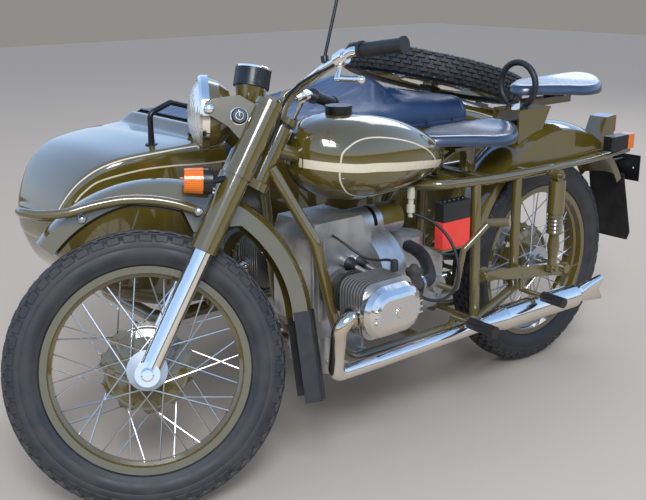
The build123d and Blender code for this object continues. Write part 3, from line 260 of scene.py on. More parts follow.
# Chrome plate over polished steel on the fork's lower legs, the handlebar, the levers, the front axle's ends
# and the headlamp's rim, with faint smears from wiping.
CHROME = (0.94, 0.88, 0.80)
chrome = Finish("chrome_plate")
chrome.set(
    Base_Color=(*CHROME, 1.0),
    Metallic=1.0,
    Roughness=chrome.range(chrome.noise(40.0), 0.35, 0.7, 0.06, 0.15),
)
dress(chrome, "fork_sliders", "handlebar", "headlamp_rim", "levers", "front_axle")

# Exhausts: chromed steel pipes from the heads into long silencers. The chrome has turned straw-coloured where
# each pipe leaves its head, and it is dusty underneath.
PIPE_CHROME = (0.84, 0.79, 0.72)
PIPE_STRAW = (0.60, 0.50, 0.36)
PIPE_DUST = (0.45, 0.41, 0.36)
pipe_chrome = Finish("exhaust_chrome")
by_the_head = pipe_chrome.range(pipe_chrome.along(0), 0.93, 1.06, 0.0, 1.0)
above_the_bend = pipe_chrome.range(pipe_chrome.along(2), 0.33, 0.45, 0.0, 0.8)
pipe_dust = pipe_chrome.range(pipe_chrome.along(2), 0.22, 0.27, 0.55, 0.0)
clean_pipe = pipe_chrome.mix(by_the_head * above_the_bend, PIPE_CHROME, PIPE_STRAW)
pipe_chrome.set(
    Base_Color=pipe_chrome.mix(pipe_dust, clean_pipe, PIPE_DUST),
    Metallic=1.0,
    Roughness=pipe_chrome.range(pipe_chrome.noise(25.0, 4.0), 0.3, 0.7, 0.08, 0.20) + pipe_dust * 0.5,
)
dress(pipe_chrome, "exhausts")

# Engine case, gearbox, cylinder heads and final drive in sand-cast alloy, with darker random patches that are
# partly stains and partly painted shade of the castings' recesses. The generator on top of the case has an
# olive end and is held by a black steel strap.
CAST_CLEAN = (0.53, 0.53, 0.53)
CAST_STAIN_AND_SHADE = (0.24, 0.225, 0.20)
GENERATOR_FRONT = 0.722
GENERATOR_LOW = 0.597
STRAP_BACK = 0.744
STRAP_FRONT = 0.757
STRAP_BLACK = (0.012, 0.012, 0.013)


def cast(name):
    """Cast alloy without its colour, and the colour by itself."""
    finish = Finish(name)
    stain_and_shade = finish.noise(14.0, 5.0)
    # Darker patches laid at random by noise: partly stains, partly painted shade of the castings' recesses
    shade = finish.mix(finish.range(stain_and_shade, 0.42, 0.75, 0.0, 0.9), CAST_CLEAN, CAST_STAIN_AND_SHADE)
    finish.set(
        Roughness=finish.range(stain_and_shade, 0.3, 0.7, 0.30, 0.52),
        Normal=finish.bump(finish.noise(900.0, 2.0), 0.25, 0.0006),
    )
    return finish, shade


alloy, alloy_shade = cast("cast_alloy")
alloy.set(Base_Color=alloy_shade, Metallic=0.85)
case_alloy, case_shade = cast("engine_case_alloy")
generator = (case_alloy.along(0) < GENERATOR_FRONT) * (case_alloy.along(2) > GENERATOR_LOW)
strap = (
    (case_alloy.along(0) > STRAP_BACK) * (case_alloy.along(0) < STRAP_FRONT)
    * (case_alloy.along(2) > GENERATOR_LOW + 0.003)
)
case_alloy.set(
    Base_Color=case_alloy.mix(strap, case_alloy.mix(generator, case_shade, OLIVE), STRAP_BLACK),
    Metallic=0.85 - generator * 0.85,
)
dress(case_alloy, "engine_case")
dress(alloy, "gearbox", "cylinder_heads", "final_drive")

# Rocker covers: die-cast alloy caps with ribs across their faces, polished bright, one bolted over each
# cylinder head.
polished = Finish("polished_alloy")
polished.set(
    Base_Color=(0.72, 0.69, 0.64, 1.0),
    Metallic=1.0,
    Roughness=polished.range(polished.noise(30.0), 0.3, 0.7, 0.12, 0.24),
    Normal=polished.bump(polished.noise(180.0, 2.0), 0.04, 0.001),
)
dress(polished, "rocker_covers")

# Cylinders: finned barrels of cast iron, dark and dull from heat, clamped between the engine case and the
# heads. The same dark iron serves for the saddles' spring blocks and the carburettors.
iron = Finish("dark_iron")
iron.set(
    Base_Color=iron.mix(iron.noise(40.0), (0.025, 0.025, 0.026), (0.06, 0.055, 0.05)),
    Roughness=iron.range(iron.noise(60.0), 0.3, 0.7, 0.45, 0.7),
)
dress(iron, "cylinders")

# Wire wheels: olive rim and drum, bright steel spokes and an alloy hub, painted by their distance from the
# axle. The front wheel stands turned with the fork, and the spare lies on the boot lid.
WHEELBASE = 1.455
TYRE_R = 0.345
RAKE = math.radians(32.0)
REST_STEER = math.radians(-32.7)
STEER_FOOT = Vector((1.605, 0, 0))
STEER_UP = Vector((-math.sin(RAKE), 0, math.cos(RAKE)))
LID_SLOPE = math.radians(15.878)
SIDECAR_AXLE = (0.22, -1.14, TYRE_R)
SPARE_POST = (-0.15, -0.615, 0.9)
HUB_R = 0.0515
WELL_R = 0.2262
DRUM_R = 0.118
DRUM_FACE = -0.003
HUB_FACE = -0.002
BRIGHT_STEEL = (0.50, 0.50, 0.51)
fork_turn = (
    Matrix.Translation(STEER_FOOT) @ Matrix.Rotation(REST_STEER, 4, STEER_UP) @ Matrix.Translation(-STEER_FOOT)
)
WHEEL_PLACES = {
    "front": fork_turn @ Matrix.Translation((WHEELBASE, 0, TYRE_R)),
    "rear": Matrix.Translation((0, 0, TYRE_R)),
    "sidecar": Matrix.Translation(SIDECAR_AXLE),
    "spare": Matrix.Translation(SPARE_POST) @ Matrix.Rotation(-LID_SLOPE, 4, "Y")
    @ Matrix.Rotation(math.radians(90), 4, "X"),
}
WHEEL_BODIES = {"front": "front_wheel", "rear": "rear_wheel", "sidecar": "sidecar_wheel", "spare": "boot_lid"}

for name, place in WHEEL_PLACES.items():
    spoked = enamel(f"{name}_wheel_finish", 0.3)
    centre = tuple(place.translation)
    axle = tuple((place.to_3x3() @ Vector((0, 1, 0))).normalized())
    offset = spoked.vector("SUBTRACT", {0: spoked.place(), 1: centre})
    reach = spoked.vector("LENGTH", {0: spoked.vector("CROSS_PRODUCT", {0: offset, 1: axle})}, "Value")
    side = spoked.vector("DOT_PRODUCT", {0: offset, 1: axle}, "Value")
    wires = (reach > HUB_R) * (reach < WELL_R) * ((side > DRUM_FACE) + (reach > DRUM_R) > 0.5)
    hub = (reach < HUB_R) * (side > HUB_FACE)
    steel = wires * (1 - hub) + hub
    patches = spoked.noise(30.0)
    spoked.set(
        Base_Color=spoked.mix(steel, OLIVE, BRIGHT_STEEL),
        Metallic=steel * 0.95,
        Roughness=spoked.range(patches, 0.3, 0.7, 0.16, 0.24) + steel * 0.14,
    )
    dress(spoked, f"{name}_wheel")

# Tyres: black rubber carcass with ribs on its sidewalls, and rows of staggered blocks with lugs on the
# shoulders. The blocks' tips are at the tyre's true radius.
TREAD_BLOCKS = 52
BLOCK_SHARE = 0.74
BLOCK_DEPTH = 0.011
GROOVE = 0.008
CARCASS_STEPS = 128
# Half of the carcass's outline, from the bead to the middle of the tread: side and radius
CARCASS = [
    (0.0306, 0.2435), (0.0326, 0.255), (0.034, 0.257), (0.0385, 0.259), (0.0425, 0.266), (0.0455, 0.273),
    (0.0466, 0.2745), (0.0470, 0.2775), (0.0478, 0.279), (0.0487, 0.287), (0.0488, 0.298), (0.0480, 0.3),
    (0.0486, 0.3015), (0.0475, 0.312), (0.0455, 0.320), (0.042, 0.327), (0.034, 0.3325), (0.024, 0.335),
    (0.0, TYRE_R - GROOVE),
]
# Rows of blocks: side of the centre line, radius at the tip, width, lean outwards in degrees, and stagger
TREAD_ROWS = [
    (-0.0375, 0.3375, 0.0125, -22, 0.0), (-0.0225, 0.3430, 0.0120, -8, 0.5), (-0.0075, 0.3450, 0.0120, 0, 0.0),
    (0.0075, 0.3450, 0.0120, 0, 0.5), (0.0225, 0.3430, 0.0120, 8, 0.0), (0.0375, 0.3375, 0.0125, 22, 0.5),
    (-0.0462, 0.3240, 0.0190, -70, 0.5), (0.0462, 0.3240, 0.0190, 70, 0.0),
]


def smooth(mesh, angle=35.0):
    """Smooth shading, but for edges sharper than an angle."""
    for face in mesh.polygons:
        face.use_smooth = True
    mesh.set_sharp_from_angle(angle=math.radians(angle))
    return mesh


def mesh_of(name, verts, faces):
    mesh = bpy.data.meshes.new(name)
    mesh.from_pydata(verts, [], faces)
    return mesh


def ring_faces(rings, count, closed=False):
    """Faces between rings of points that follow each other, back to the first ring where closed."""
    faces = []
    for ring in range(rings if closed else rings - 1):
        here, there = ring * count, (ring + 1) % rings * count
        for step in range(count):
            after = (step + 1) % count
            faces.append((here + step, here + after, there + after, there + step))
    return faces


def lathe(outline, place, steps=96):
    """Mesh of a closed outline of (side, radius) pairs turned round the Y axis, then put in its place."""
    shape = bmesh.new()
    rings = []
    for side, radius in outline:
        turns = [2 * math.pi * step / steps for step in range(steps)] if radius > 1e-6 else [0.0]
        rings.append([shape.verts.new((radius * math.sin(t), side, radius * math.cos(t))) for t in turns])
    for first, second in zip(rings, rings[1:] + rings[:1]):
        for step in range(steps):
            after = (step + 1) % steps
            corners = [first[step % len(first)], first[after % len(first)],
                       second[after % len(second)], second[step % len(second)]]
            corners = list(dict.fromkeys(corners))
            if len(corners) > 2:
                shape.faces.new(corners)
    bmesh.ops.recalc_face_normals(shape, faces=shape.faces)
    bmesh.ops.transform(shape, matrix=place, verts=shape.verts)
    mesh = bpy.data.meshes.new("lathe")
    shape.to_mesh(mesh)
    shape.free()
    return smooth(mesh)


def show(name, mesh, finish, body, slot, *replaced):
    """A finished piece on its body, standing for the CAD nodes it replaces."""
    mesh.name = name
    mesh.materials.clear()
    mesh.materials.append(finish.material)
    made = bpy.data.objects.new(name, mesh)
    bpy.context.scene.collection.objects.link(made)
    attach(made, body)
    if replaced:
        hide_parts(*replaced)
    return made


def join(*meshes):
    """One mesh out of several, which are used up."""
    shape = bmesh.new()
    for mesh in meshes:
        shape.from_mesh(mesh)
    joined = bpy.data.meshes.new("joined")
    shape.to_mesh(joined)
    shape.free()
    return smooth(joined)


copying = bpy.data.node_groups.new("copies_on_points", "GeometryNodeTree")
for label, way, kind in (
    ("Points", "INPUT", "Geometry"), ("Copy", "INPUT", "Object"), ("Size", "INPUT", "Float"),
    ("Finish", "INPUT", "Material"), ("Copies", "OUTPUT", "Geometry"),
):
    copying.interface.new_socket(name=label, in_out=way, socket_type=f"NodeSocket{kind}")
copying_parts = {
    part: copying.nodes.new(kind) for part, kind in (
        ("input", "NodeGroupInput"), ("copy", "GeometryNodeObjectInfo"),
        ("turn", "GeometryNodeInputNamedAttribute"),
        ("place", "GeometryNodeInstanceOnPoints"), ("real", "GeometryNodeRealizeInstances"),
        ("finish", "GeometryNodeSetMaterial"), ("output", "NodeGroupOutput"),
    )
}
copying_parts["turn"].data_type = "FLOAT_VECTOR"
copying_parts["turn"].inputs["Name"].default_value = "turn"
for source, out, target, into in (
    ("input", "Points", "place", "Points"), ("input", "Copy", "copy", "Object"),
    ("copy", "Geometry", "place", "Instance"), ("turn", "Attribute", "place", "Rotation"),
    ("input", "Size", "place", "Scale"),
    ("place", "Instances", "real", "Geometry"), ("real", "Geometry", "finish", "Geometry"),
    ("input", "Finish", "finish", "Material"), ("finish", "Geometry", "output", "Copies"),
):
    copying.links.new(copying_parts[source].outputs[out], copying_parts[target].inputs[into])


def copies(template, places, finish, size=1.0):
    """Mesh of a template mesh repeated at a list of matrices, by Geometry Nodes."""
    pattern = bpy.data.objects.new("pattern", template)
    bpy.context.scene.collection.objects.link(pattern)
    points = bpy.data.meshes.new("points")
    points.from_pydata([tuple(place.translation) for place in places], [], [])
    turn = points.attributes.new("turn", "FLOAT_VECTOR", "POINT")
    for index, place in enumerate(places):
        turn.data[index].vector = place.to_euler("XYZ")
    carrier = bpy.data.objects.new("carrier", points)
    bpy.context.scene.collection.objects.link(carrier)
    modifier = carrier.modifiers.new("copies", "NODES")
    modifier.node_group = copying
    inputs = {item.name: item.identifier for item in copying.interface.items_tree if item.in_out == "INPUT"}
    modifier[inputs["Copy"]] = pattern
    modifier[inputs["Size"]] = size
    modifier[inputs["Finish"]] = finish.material
    view = bpy.context.evaluated_depsgraph_get()
    mesh = bpy.data.meshes.new_from_object(carrier.evaluated_get(view))
    carrier.modifiers.remove(modifier)
    bpy.data.objects.remove(carrier)
    bpy.data.objects.remove(pattern)
    return mesh


def tread_block(width, length, depth):
    """Mesh of one block with a chamfered top, its tip at z = 0."""
    levels = [(0.5, 0.5, -depth), (0.47, 0.48, -0.0014), (0.40, 0.44, 0.0)]
    verts = []
    for across, around, height in levels:
        corners = ((-1, -1), (1, -1), (1, 1), (-1, 1))
        verts += [(x * length * around, y * width * across, height) for x, y in corners]
    return mesh_of("tread_block", verts, [(8, 9, 10, 11)] + ring_faces(3, 4))


rubber = Finish("tyre_rubber")
rubber_patch = rubber.noise(18.0, 5.0)
grey = rubber.range(rubber_patch, 0.4, 0.8, 0.0, 0.7)
rubber.set(
    Base_Color=rubber.mix(grey, (0.022, 0.024, 0.029), (0.062, 0.060, 0.058)),
    Roughness=rubber.range(rubber_patch, 0.3, 0.7, 0.42, 0.68),
    Normal=rubber.bump(rubber.noise(500.0, 2.0), 0.15, 0.0006),
)
carcass_outline = CARCASS + [(-side, radius) for side, radius in reversed(CARCASS[:-1])]
block_long = 2 * math.pi * TYRE_R / TREAD_BLOCKS * BLOCK_SHARE
for name, place in WHEEL_PLACES.items():
    parts = [lathe(carcass_outline, place, CARCASS_STEPS)]
    for side, radius, width, lean, stagger in TREAD_ROWS:
        spots = []
        for block in range(TREAD_BLOCKS):
            turn = Matrix.Rotation(2 * math.pi * (block + stagger) / TREAD_BLOCKS, 4, "Y")
            spots.append(place @ turn @ Matrix.Translation((0, side, radius))
                         @ Matrix.Rotation(math.radians(-lean), 4, "X"))
        parts.append(copies(tread_block(width, block_long, BLOCK_DEPTH), spots, rubber))
    show(f"{name}_tyre_tread", join(*parts), rubber, WHEEL_BODIES[name], "rubber", f"{name}_tyre")

# Mudflaps, grips, footrest sleeves and the grab ring in plain black rubber, pushed or bolted on, and worn
# grey where they are touched. The small hoses, boots and cable sleeves further down are of the same rubber.
soft_rubber = Finish("soft_rubber")
soft_patch = soft_rubber.noise(25.0, 4.0)
worn = soft_rubber.range(soft_patch, 0.4, 0.8, 0.0, 0.5)
soft_rubber.set(
    Base_Color=soft_rubber.mix(worn, (0.012, 0.012, 0.014), (0.05, 0.048, 0.046)),
    Roughness=soft_rubber.range(soft_patch, 0.3, 0.7, 0.4, 0.6),
    Normal=soft_rubber.bump(soft_rubber.noise(300.0, 2.0), 0.1, 0.0006),
)
dress(soft_rubber, "front_mudflap", "rear_mudflap", "grips", "footrests", "carburettors", "grab_ring")

# Black plastic and black paint on the signals' bodies, the mirror, the clock, the filler cap, the number
# plate's bracket and the sidecar's rail.
black = Finish("black_plastic")
black.set(
    Base_Color=(0.010, 0.010, 0.012, 1.0), Roughness=black.range(black.noise(50.0), 0.3, 0.7, 0.22, 0.38)
)
dress(black, "front_signals", "rear_signals", "mirror", "speedometer", "filler_cap", "plate_bracket",
      "sidecar_grab_rail")

# Lenses of the four turn signals in amber and of the tail lamp in red: clear coloured plastic, moulded with
# fine level ribs and screwed into their housings.
AMBER = (0.93, 0.21, 0.006)
TAIL_RED = (0.42, 0.02, 0.03)


def lens(name, colour):
    """Ribbed lens plastic, darker in the grooves."""
    finish = Finish(name)
    ribs = finish.add("ShaderNodeTexWave", {"bands_direction": "Z"}, {"Vector": finish.place(), "Scale": 60.0})
    finish.set(
        Base_Color=finish.mix(ribs, colour, [0.7 * part for part in colour]),
        Roughness=finish.range(ribs, 0.0, 1.0, 0.08, 0.2),
        Normal=finish.bump(ribs, 0.25, 0.001),
        Coat_Weight=0.5,
    )
    return finish


dress(lens("amber_lens", AMBER), "front_signal_lenses", "rear_signal_lenses")
dress(lens("red_lens", TAIL_RED), "tail_lamp_lens")

# Nose of the sidecar body: one smooth beaten steel panel from the cockpit's front edge to the rounded bow, in
# the same enamel as the rest. It is welded to the body behind it and stands over the solid's plain sections.
# Sections from the cockpit forward: x, middle y, half width, bottom, top and the top corner's radius
NOSE_SECTIONS = [
    (0.992, -0.613, 0.2660, 0.330, 0.8460, 0.058), (1.012, -0.613, 0.2660, 0.330, 0.8460, 0.054),
    (1.026, -0.613, 0.2655, 0.331, 0.8330, 0.044), (1.045, -0.612, 0.2645, 0.332, 0.8190, 0.034),
    (1.070, -0.612, 0.2620, 0.334, 0.8150, 0.027), (1.110, -0.611, 0.2580, 0.338, 0.8120, 0.023),
    (1.180, -0.609, 0.2500, 0.345, 0.8080, 0.022), (1.290, -0.606, 0.2240, 0.378, 0.7960, 0.022),
    (1.352, -0.604, 0.1970, 0.412, 0.7740, 0.022), (1.397, -0.603, 0.1730, 0.448, 0.7410, 0.022),
    (1.427, -0.602, 0.1540, 0.484, 0.7040, 0.022), (1.448, -0.602, 0.1370, 0.526, 0.6640, 0.020),
    (1.458, -0.602, 0.1240, 0.556, 0.6400, 0.018),
]
NOSE_STEPS = 6
NOSE_PROUD = 0.0007
NOSE_TUCK = -0.0004
NOSE_CROWN = 0.007
CROWN_START = 1.03
NOSE_BOTTOM_CORNER = 0.055
CORNER_STEPS = 6
EDGE_STEPS = 10
# The bow's closing rings: share of the last section, and distance ahead of it
NOSE_TIP = [(0.93, 0.0035), (0.8, 0.0065), (0.55, 0.009), (0.25, 0.0105)]
NOSE_POINT = 0.011


def turned_out(mesh, angle):
    """The mesh in smooth shading, with its faces pointing outwards."""
    shape = bmesh.new()
    shape.from_mesh(mesh)
    bmesh.ops.recalc_face_normals(shape, faces=shape.faces)
    shape.to_mesh(mesh)
    shape.free()
    return smooth(mesh, angle)


def curve_point(first, start, end, last, share):
    """Point at a share of the way from start to end, on a smooth curve through all four."""
    return 0.5 * (
        2 * start + (end - first) * share + (2 * first - 5 * start + 4 * end - last) * share * share
        + (3 * start - first - 3 * end + last) * share ** 3
    )


def nose_ring(x, middle, half, low, high, corner, grow):
    """Points round one section of the nose: a crowned top with tight corners, and a rounder bottom."""
    ring = []
    half, low, high = half + grow, low - grow, high + grow
    under = min(NOSE_BOTTOM_CORNER, 0.4 * (high - low))
    corners = [(half - corner, high - corner, 0, corner), (-half + corner, high - corner, 90, corner),
               (-half + under, low + under, 180, under), (half - under, low + under, 270, under)]
    crowned = NOSE_CROWN * min(1.0, max(0.0, (x - CROWN_START) / 0.1))
    for here, there in zip(corners, corners[1:] + corners[:1]):
        across, up, start, round_by = here
        for step in range(CORNER_STEPS + 1):
            turn = math.radians(start + 90 * step / CORNER_STEPS)
            ring.append((x, middle + across + round_by * math.cos(turn), up + round_by * math.sin(turn)))
        last = math.radians(start + 90)
        out = Vector((math.cos(last), math.sin(last)))
        end = Vector((across, up)) + out * round_by
        begin = Vector(there[:2]) + out * there[3]
        for step in range(1, EDGE_STEPS):
            share = step / EDGE_STEPS
            spot = end.lerp(begin, share)
            crown = 0.0 if start else crowned * 4 * share * (1 - share)
            ring.append((x, middle + spot.x, spot.y + crown))
    return ring


def nose_mesh():
    """Smooth mesh through the nose's sections, closed at the bow by shrinking rings."""
    beyond = tuple(2 * a - b for a, b in zip(NOSE_SECTIONS[-1], NOSE_SECTIONS[-2]))
    guide = [NOSE_SECTIONS[0]] + NOSE_SECTIONS + [beyond]
    rows = []
    for sections in zip(guide, guide[1:], guide[2:], guide[3:]):
        for step in range(NOSE_STEPS):
            rows.append([curve_point(*values, step / NOSE_STEPS) for values in zip(*sections)])
    rows.append(list(NOSE_SECTIONS[-1]))
    rings = [nose_ring(*row, NOSE_PROUD if index else NOSE_TUCK) for index, row in enumerate(rows)]
    tip = rings[-1]
    x, y, _, low, high, _ = NOSE_SECTIONS[-1]
    middle = Vector((x, y, (low + high) / 2))
    for share, ahead in NOSE_TIP:
        rings.append([middle.lerp(Vector(point), share) + Vector((ahead, 0, 0)) for point in tip])
    count = len(tip)
    verts = [tuple(point) for ring in rings for point in ring] + [tuple(middle + Vector((NOSE_POINT, 0, 0)))]
    top = (len(rings) - 1) * count
    faces = ring_faces(len(rings), count)
    faces += [(top + step, top + (step + 1) % count, len(verts) - 1) for step in range(count)]
    return turned_out(mesh_of("nose", verts, faces), 50.0)


nose_panel = show("sidecar_nose_panel", nose_mesh(), olive, "frame", "olive")

# Sidecar body behind the nose: a shell of pressed steel panels in olive enamel, open at the cockpit and the
# boot. It is the solid's own shell, cut off where the beaten panel takes over.
NOSE_START = 1.0110
shape = bmesh.new()
shape.from_mesh(solids["sidecar_body"].data)
bmesh.ops.remove_doubles(shape, verts=shape.verts, dist=0.00001)
bmesh.ops.bisect_plane(
    shape, geom=shape.verts[:] + shape.edges[:] + shape.faces[:],
    plane_co=(NOSE_START, 0, 0), plane_no=(1, 0, 0), clear_outer=True,
)
shell = bpy.data.meshes.new("shell")
shape.to_mesh(shell)
shape.free()
body_shell = show("sidecar_body_shell", smooth(shell), olive, "frame", "olive", "sidecar_body")

# Stripes in cream paint, drawn by hand over the enamel: a broad band and an oval on each side of the tank,
# and two thin lines along each side of the sidecar. Each is a thin ribbon laid on the panel under its line of
# points.
CREAM = (0.70, 0.65, 0.50)
CREAM_LIGHT = (0.78, 0.74, 0.62)
PAINT_PROUD = 0.0005
PAINT_REACH = 0.03
LINE_STEP = 0.008
BAND_WIDE = 0.0235
OVAL_WIDE = 0.0042
BODY_LINE_WIDE = 0.0045
cream = Finish("cream_paint")
cream.set(
    Base_Color=cream.mix(cream.noise(30.0), CREAM, CREAM_LIGHT),
    Roughness=cream.range(cream.noise(50.0), 0.3, 0.7, 0.2, 0.32),
    Coat_Weight=0.4,
)
skins = {}


def skin(node):
    """Search tree over the outside of a CAD solid, with the nose panel on the sidecar's body."""
    if node not in skins:
        verts = []
        faces = []
        for made in ([body_shell, nose_panel] if node == "sidecar_body" else [solids[node]]):
            first = len(verts)
            verts += [made.matrix_world @ vert.co for vert in made.data.vertices]
            faces += [tuple(first + index for index in face.vertices) for face in made.data.polygons]
        skins[node] = BVHTree.FromPolygons(verts, faces)
    return skins[node]


def outermost(node, point, normal):
    """Where a line down a normal first meets a solid, and the normal there."""
    touch, up, _, _ = skin(node).ray_cast(point + normal * PAINT_REACH, -normal)
    if touch is None:
        touch, up, _, _ = skin(node).find_nearest(point)
    return touch, (up if up.dot(normal) > 0 else -up)


def smooth_line(points, step=LINE_STEP, closed=False):
    """Points at even steps along a curve through the given ones."""
    points = [Vector(point) for point in points]
    ends = [points[-1]] if closed else [2 * points[0] - points[1]]
    tail = points[:2] if closed else [2 * points[-1] - points[-2]]
    guide = ends + points + tail
    line = []
    for first, start, end, last in zip(guide, guide[1:], guide[2:], guide[3:]):
        count = max(1, round((end - start).length / step))
        line += [curve_point(first, start, end, last, index / count) for index in range(count)]
    if not closed:
        line.append(points[-1])
    return line


def ribbon(node, points, width, closed=False, across=4):
    """Mesh of a painted stripe of a width along a line, laid on a CAD solid."""
    line = smooth_line(points, closed=closed)
    verts = []
    faces = []
    for index, point in enumerate(line):
        before = line[index - 1] if closed or index else line[0]
        after = line[(index + 1) % len(line)] if closed or index < len(line) - 1 else line[-1]
        along = (after - before).normalized()
        spot, normal, _, _ = skin(node).find_nearest(point)
        sideways = normal.cross(along).normalized()
        for lane in range(across + 1):
            touch, up = outermost(node, spot + sideways * width * (lane / across - 0.5), normal)
            verts.append(touch + up * PAINT_PROUD)
    rings = len(line)
    for index in range(rings if closed else rings - 1):
        here, there = index * (across + 1), (index + 1) % rings * (across + 1)
        faces += [(here + lane, here + lane + 1, there + lane + 1, there + lane) for lane in range(across)]
    return smooth(mesh_of("ribbon", verts, faces), 60.0)


def mirrored(points, middle=0.0):
    """The points on the other side of an upright plane along the machine."""
    return [(x, 2 * middle - y, z) for x, y, z in points]


# Lines on the tank's left side, from the front back: x, y and z
TANK_BAND = [
    (0.996, 0.012, 0.808), (0.987, 0.060, 0.806), (0.940, 0.107, 0.7995), (0.885, 0.128, 0.794),
    (0.829, 0.142, 0.791), (0.757, 0.140, 0.783), (0.681, 0.131, 0.775), (0.605, 0.110, 0.765),
    (0.536, 0.080, 0.755),
]
TANK_OVAL = [
    (0.936, 0.108, 0.800), (0.931, 0.111, 0.835), (0.910, 0.115, 0.852), (0.887, 0.118, 0.863),
    (0.855, 0.122, 0.868), (0.816, 0.127, 0.866), (0.765, 0.130, 0.857), (0.702, 0.128, 0.840),
    (0.646, 0.121, 0.818), (0.615, 0.115, 0.801), (0.584, 0.106, 0.775), (0.572, 0.088, 0.745),
    (0.592, 0.090, 0.728), (0.640, 0.100, 0.716), (0.720, 0.105, 0.708), (0.790, 0.105, 0.703),
    (0.856, 0.097, 0.706), (0.893, 0.095, 0.719), (0.918, 0.099, 0.743), (0.933, 0.103, 0.770),
]
stripes = []
for line in (TANK_BAND, mirrored(TANK_BAND)):
    stripes.append(ribbon("fuel_tank", line, BAND_WIDE, across=6))
for line in (TANK_OVAL, mirrored(TANK_OVAL)):
    stripes.append(ribbon("fuel_tank", line, OVAL_WIDE, closed=True, across=2))
show("tank_stripes", join(*stripes), cream, "frame", "olive")

# Lines on the sidecar's left side, from the tail forward: the upper one on the deck's edge, the lower one on
# the wall
BODY_EDGE_LINE = [
    (-0.584, -0.430, 0.610), (-0.400, -0.385, 0.686), (-0.185, -0.350, 0.765), (0.0, -0.336, 0.812),
    (0.20, -0.336, 0.812), (0.60, -0.340, 0.811), (0.90, -0.346, 0.811), (1.00, -0.349, 0.811),
    (1.10, -0.358, 0.808), (1.18, -0.366, 0.802), (1.290, -0.389, 0.790), (1.352, -0.414, 0.768),
    (1.397, -0.437, 0.735), (1.427, -0.455, 0.698), (1.448, -0.472, 0.658),
]
BODY_WALL_LINE = [
    (0.20, -0.328, 0.745), (0.60, -0.332, 0.748), (1.034, -0.345, 0.756), (1.150, -0.357, 0.762),
    (1.253, -0.374, 0.759), (1.350, -0.404, 0.739), (1.393, -0.424, 0.709), (1.414, -0.437, 0.683),
]
BODY_MIDDLE = -0.611
STRIPE_INBOARD = 0.012
STRIPE_OUTBOARD = 0.011


def far_side(line, inboard):
    """A line on the body's far side, a little outside the mirrored one and drawn in at the nose."""
    spots = []
    for x, y, z in mirrored(line, BODY_MIDDLE):
        nose = min(1.0, max(0.0, (x - 0.95) / 0.15))
        spots.append((x, y + inboard * nose - STRIPE_OUTBOARD * (1.0 - nose), z))
    return spots


stripes = []
for line, inboard in ((BODY_EDGE_LINE, STRIPE_INBOARD), (BODY_WALL_LINE, 0.0)):
    stripes.append(ribbon("sidecar_body", line, BODY_LINE_WIDE, across=2))
    stripes.append(ribbon("sidecar_body", far_side(line, inboard), BODY_LINE_WIDE, across=2))
show("sidecar_stripes", join(*stripes), cream, "frame", "olive")

# Pan saddles of black rubber with a fine woven top, one for the rider and a higher one for the pillion. Their
# blue tint is partly the rubber's own colour and partly a painted reflection of the blue sky.
# Each is moulded over a steel pan, with its sides turned down and its back raised, and bolts to a spring block.
SADDLE_PLACES = {"driver_saddle": (0.332, 0, 0.808), "pillion_saddle": (-0.078, 0, 0.922)}
SADDLE_TURNS = 72
SADDLE_BACK_R = 0.139
SADDLE_BACK_X = -0.018
SADDLE_LONG = 0.176
SADDLE_TAPER = 0.092
SADDLE_TOP = 0.0145
# Rings from the top's middle out and under: share of the outline, and height above the ring's own level
SADDLE_RINGS = [
    (0.02, -0.0080), (0.2, -0.0076), (0.4, -0.0058), (0.58, -0.0026), (0.72, 0.0004), (0.82, 0.0022),
    (0.89, 0.0026), (0.935, 0.0008), (0.968, -0.0035), (0.988, -0.0100), (0.998, -0.0180), (1.0, -0.0240),
    (0.997, -0.0262), (0.990, -0.0268), (0.980, -0.0250), (0.972, -0.0200), (0.955, -0.0120), (0.90, -0.0080),
    (0.75, -0.0100), (0.5, -0.0150), (0.25, -0.0160), (0.02, -0.0160),
]
# The saddles' blue is partly the rubber's own colour and partly a painted reflection of the blue sky
SADDLE_DARK = (0.010, 0.024, 0.060)
SADDLE_SCUFFED = (0.022, 0.050, 0.105)
SADDLE_WEAVE = 640.0


def saddle_outline(turn):
    """Point on the saddle's plan: a wide round back and a narrow nose, as circles along the middle line."""
    best = 0.0
    ray = (math.cos(turn), math.sin(turn))
    for step in range(41):
        share = step / 40
        centre = SADDLE_BACK_X + SADDLE_LONG * share
        radius = SADDLE_BACK_R - SADDLE_TAPER * share
        across = centre * ray[1]
        if abs(across) < radius:
            best = max(best, centre * ray[0] + math.sqrt(radius ** 2 - across ** 2))
    return Vector((best * ray[0], best * ray[1]))


def saddle_mesh(place):
    """Closed pad: dished top, rolled lip turned down, and a hollow underside."""
    verts = []
    outline = [saddle_outline(2 * math.pi * step / SADDLE_TURNS) for step in range(SADDLE_TURNS)]
    for share, height in SADDLE_RINGS:
        for edge in outline:
            flat = edge * share
            back = max(0.0, -flat.x - 0.05) / 0.107
            nose = max(0.0, flat.x - 0.06) / 0.09
            drop = 0.010 * (flat.y / SADDLE_BACK_R) ** 2
            raised = 0.018 * back ** 2 - 0.003 * nose
            lip = 0.35 * min(1.0, back) * min(0.0, height + 0.010)
            verts.append(
                Vector((flat.x, flat.y, SADDLE_TOP + height + lip + raised * share - drop)) + Vector(place)
            )
    last = (len(SADDLE_RINGS) - 1) * SADDLE_TURNS
    faces = ring_faces(len(SADDLE_RINGS), SADDLE_TURNS)
    faces.append(tuple(range(SADDLE_TURNS))[::-1])
    faces.append(tuple(last + step for step in range(SADDLE_TURNS)))
    return turned_out(mesh_of("saddle", verts, faces), 60.0)


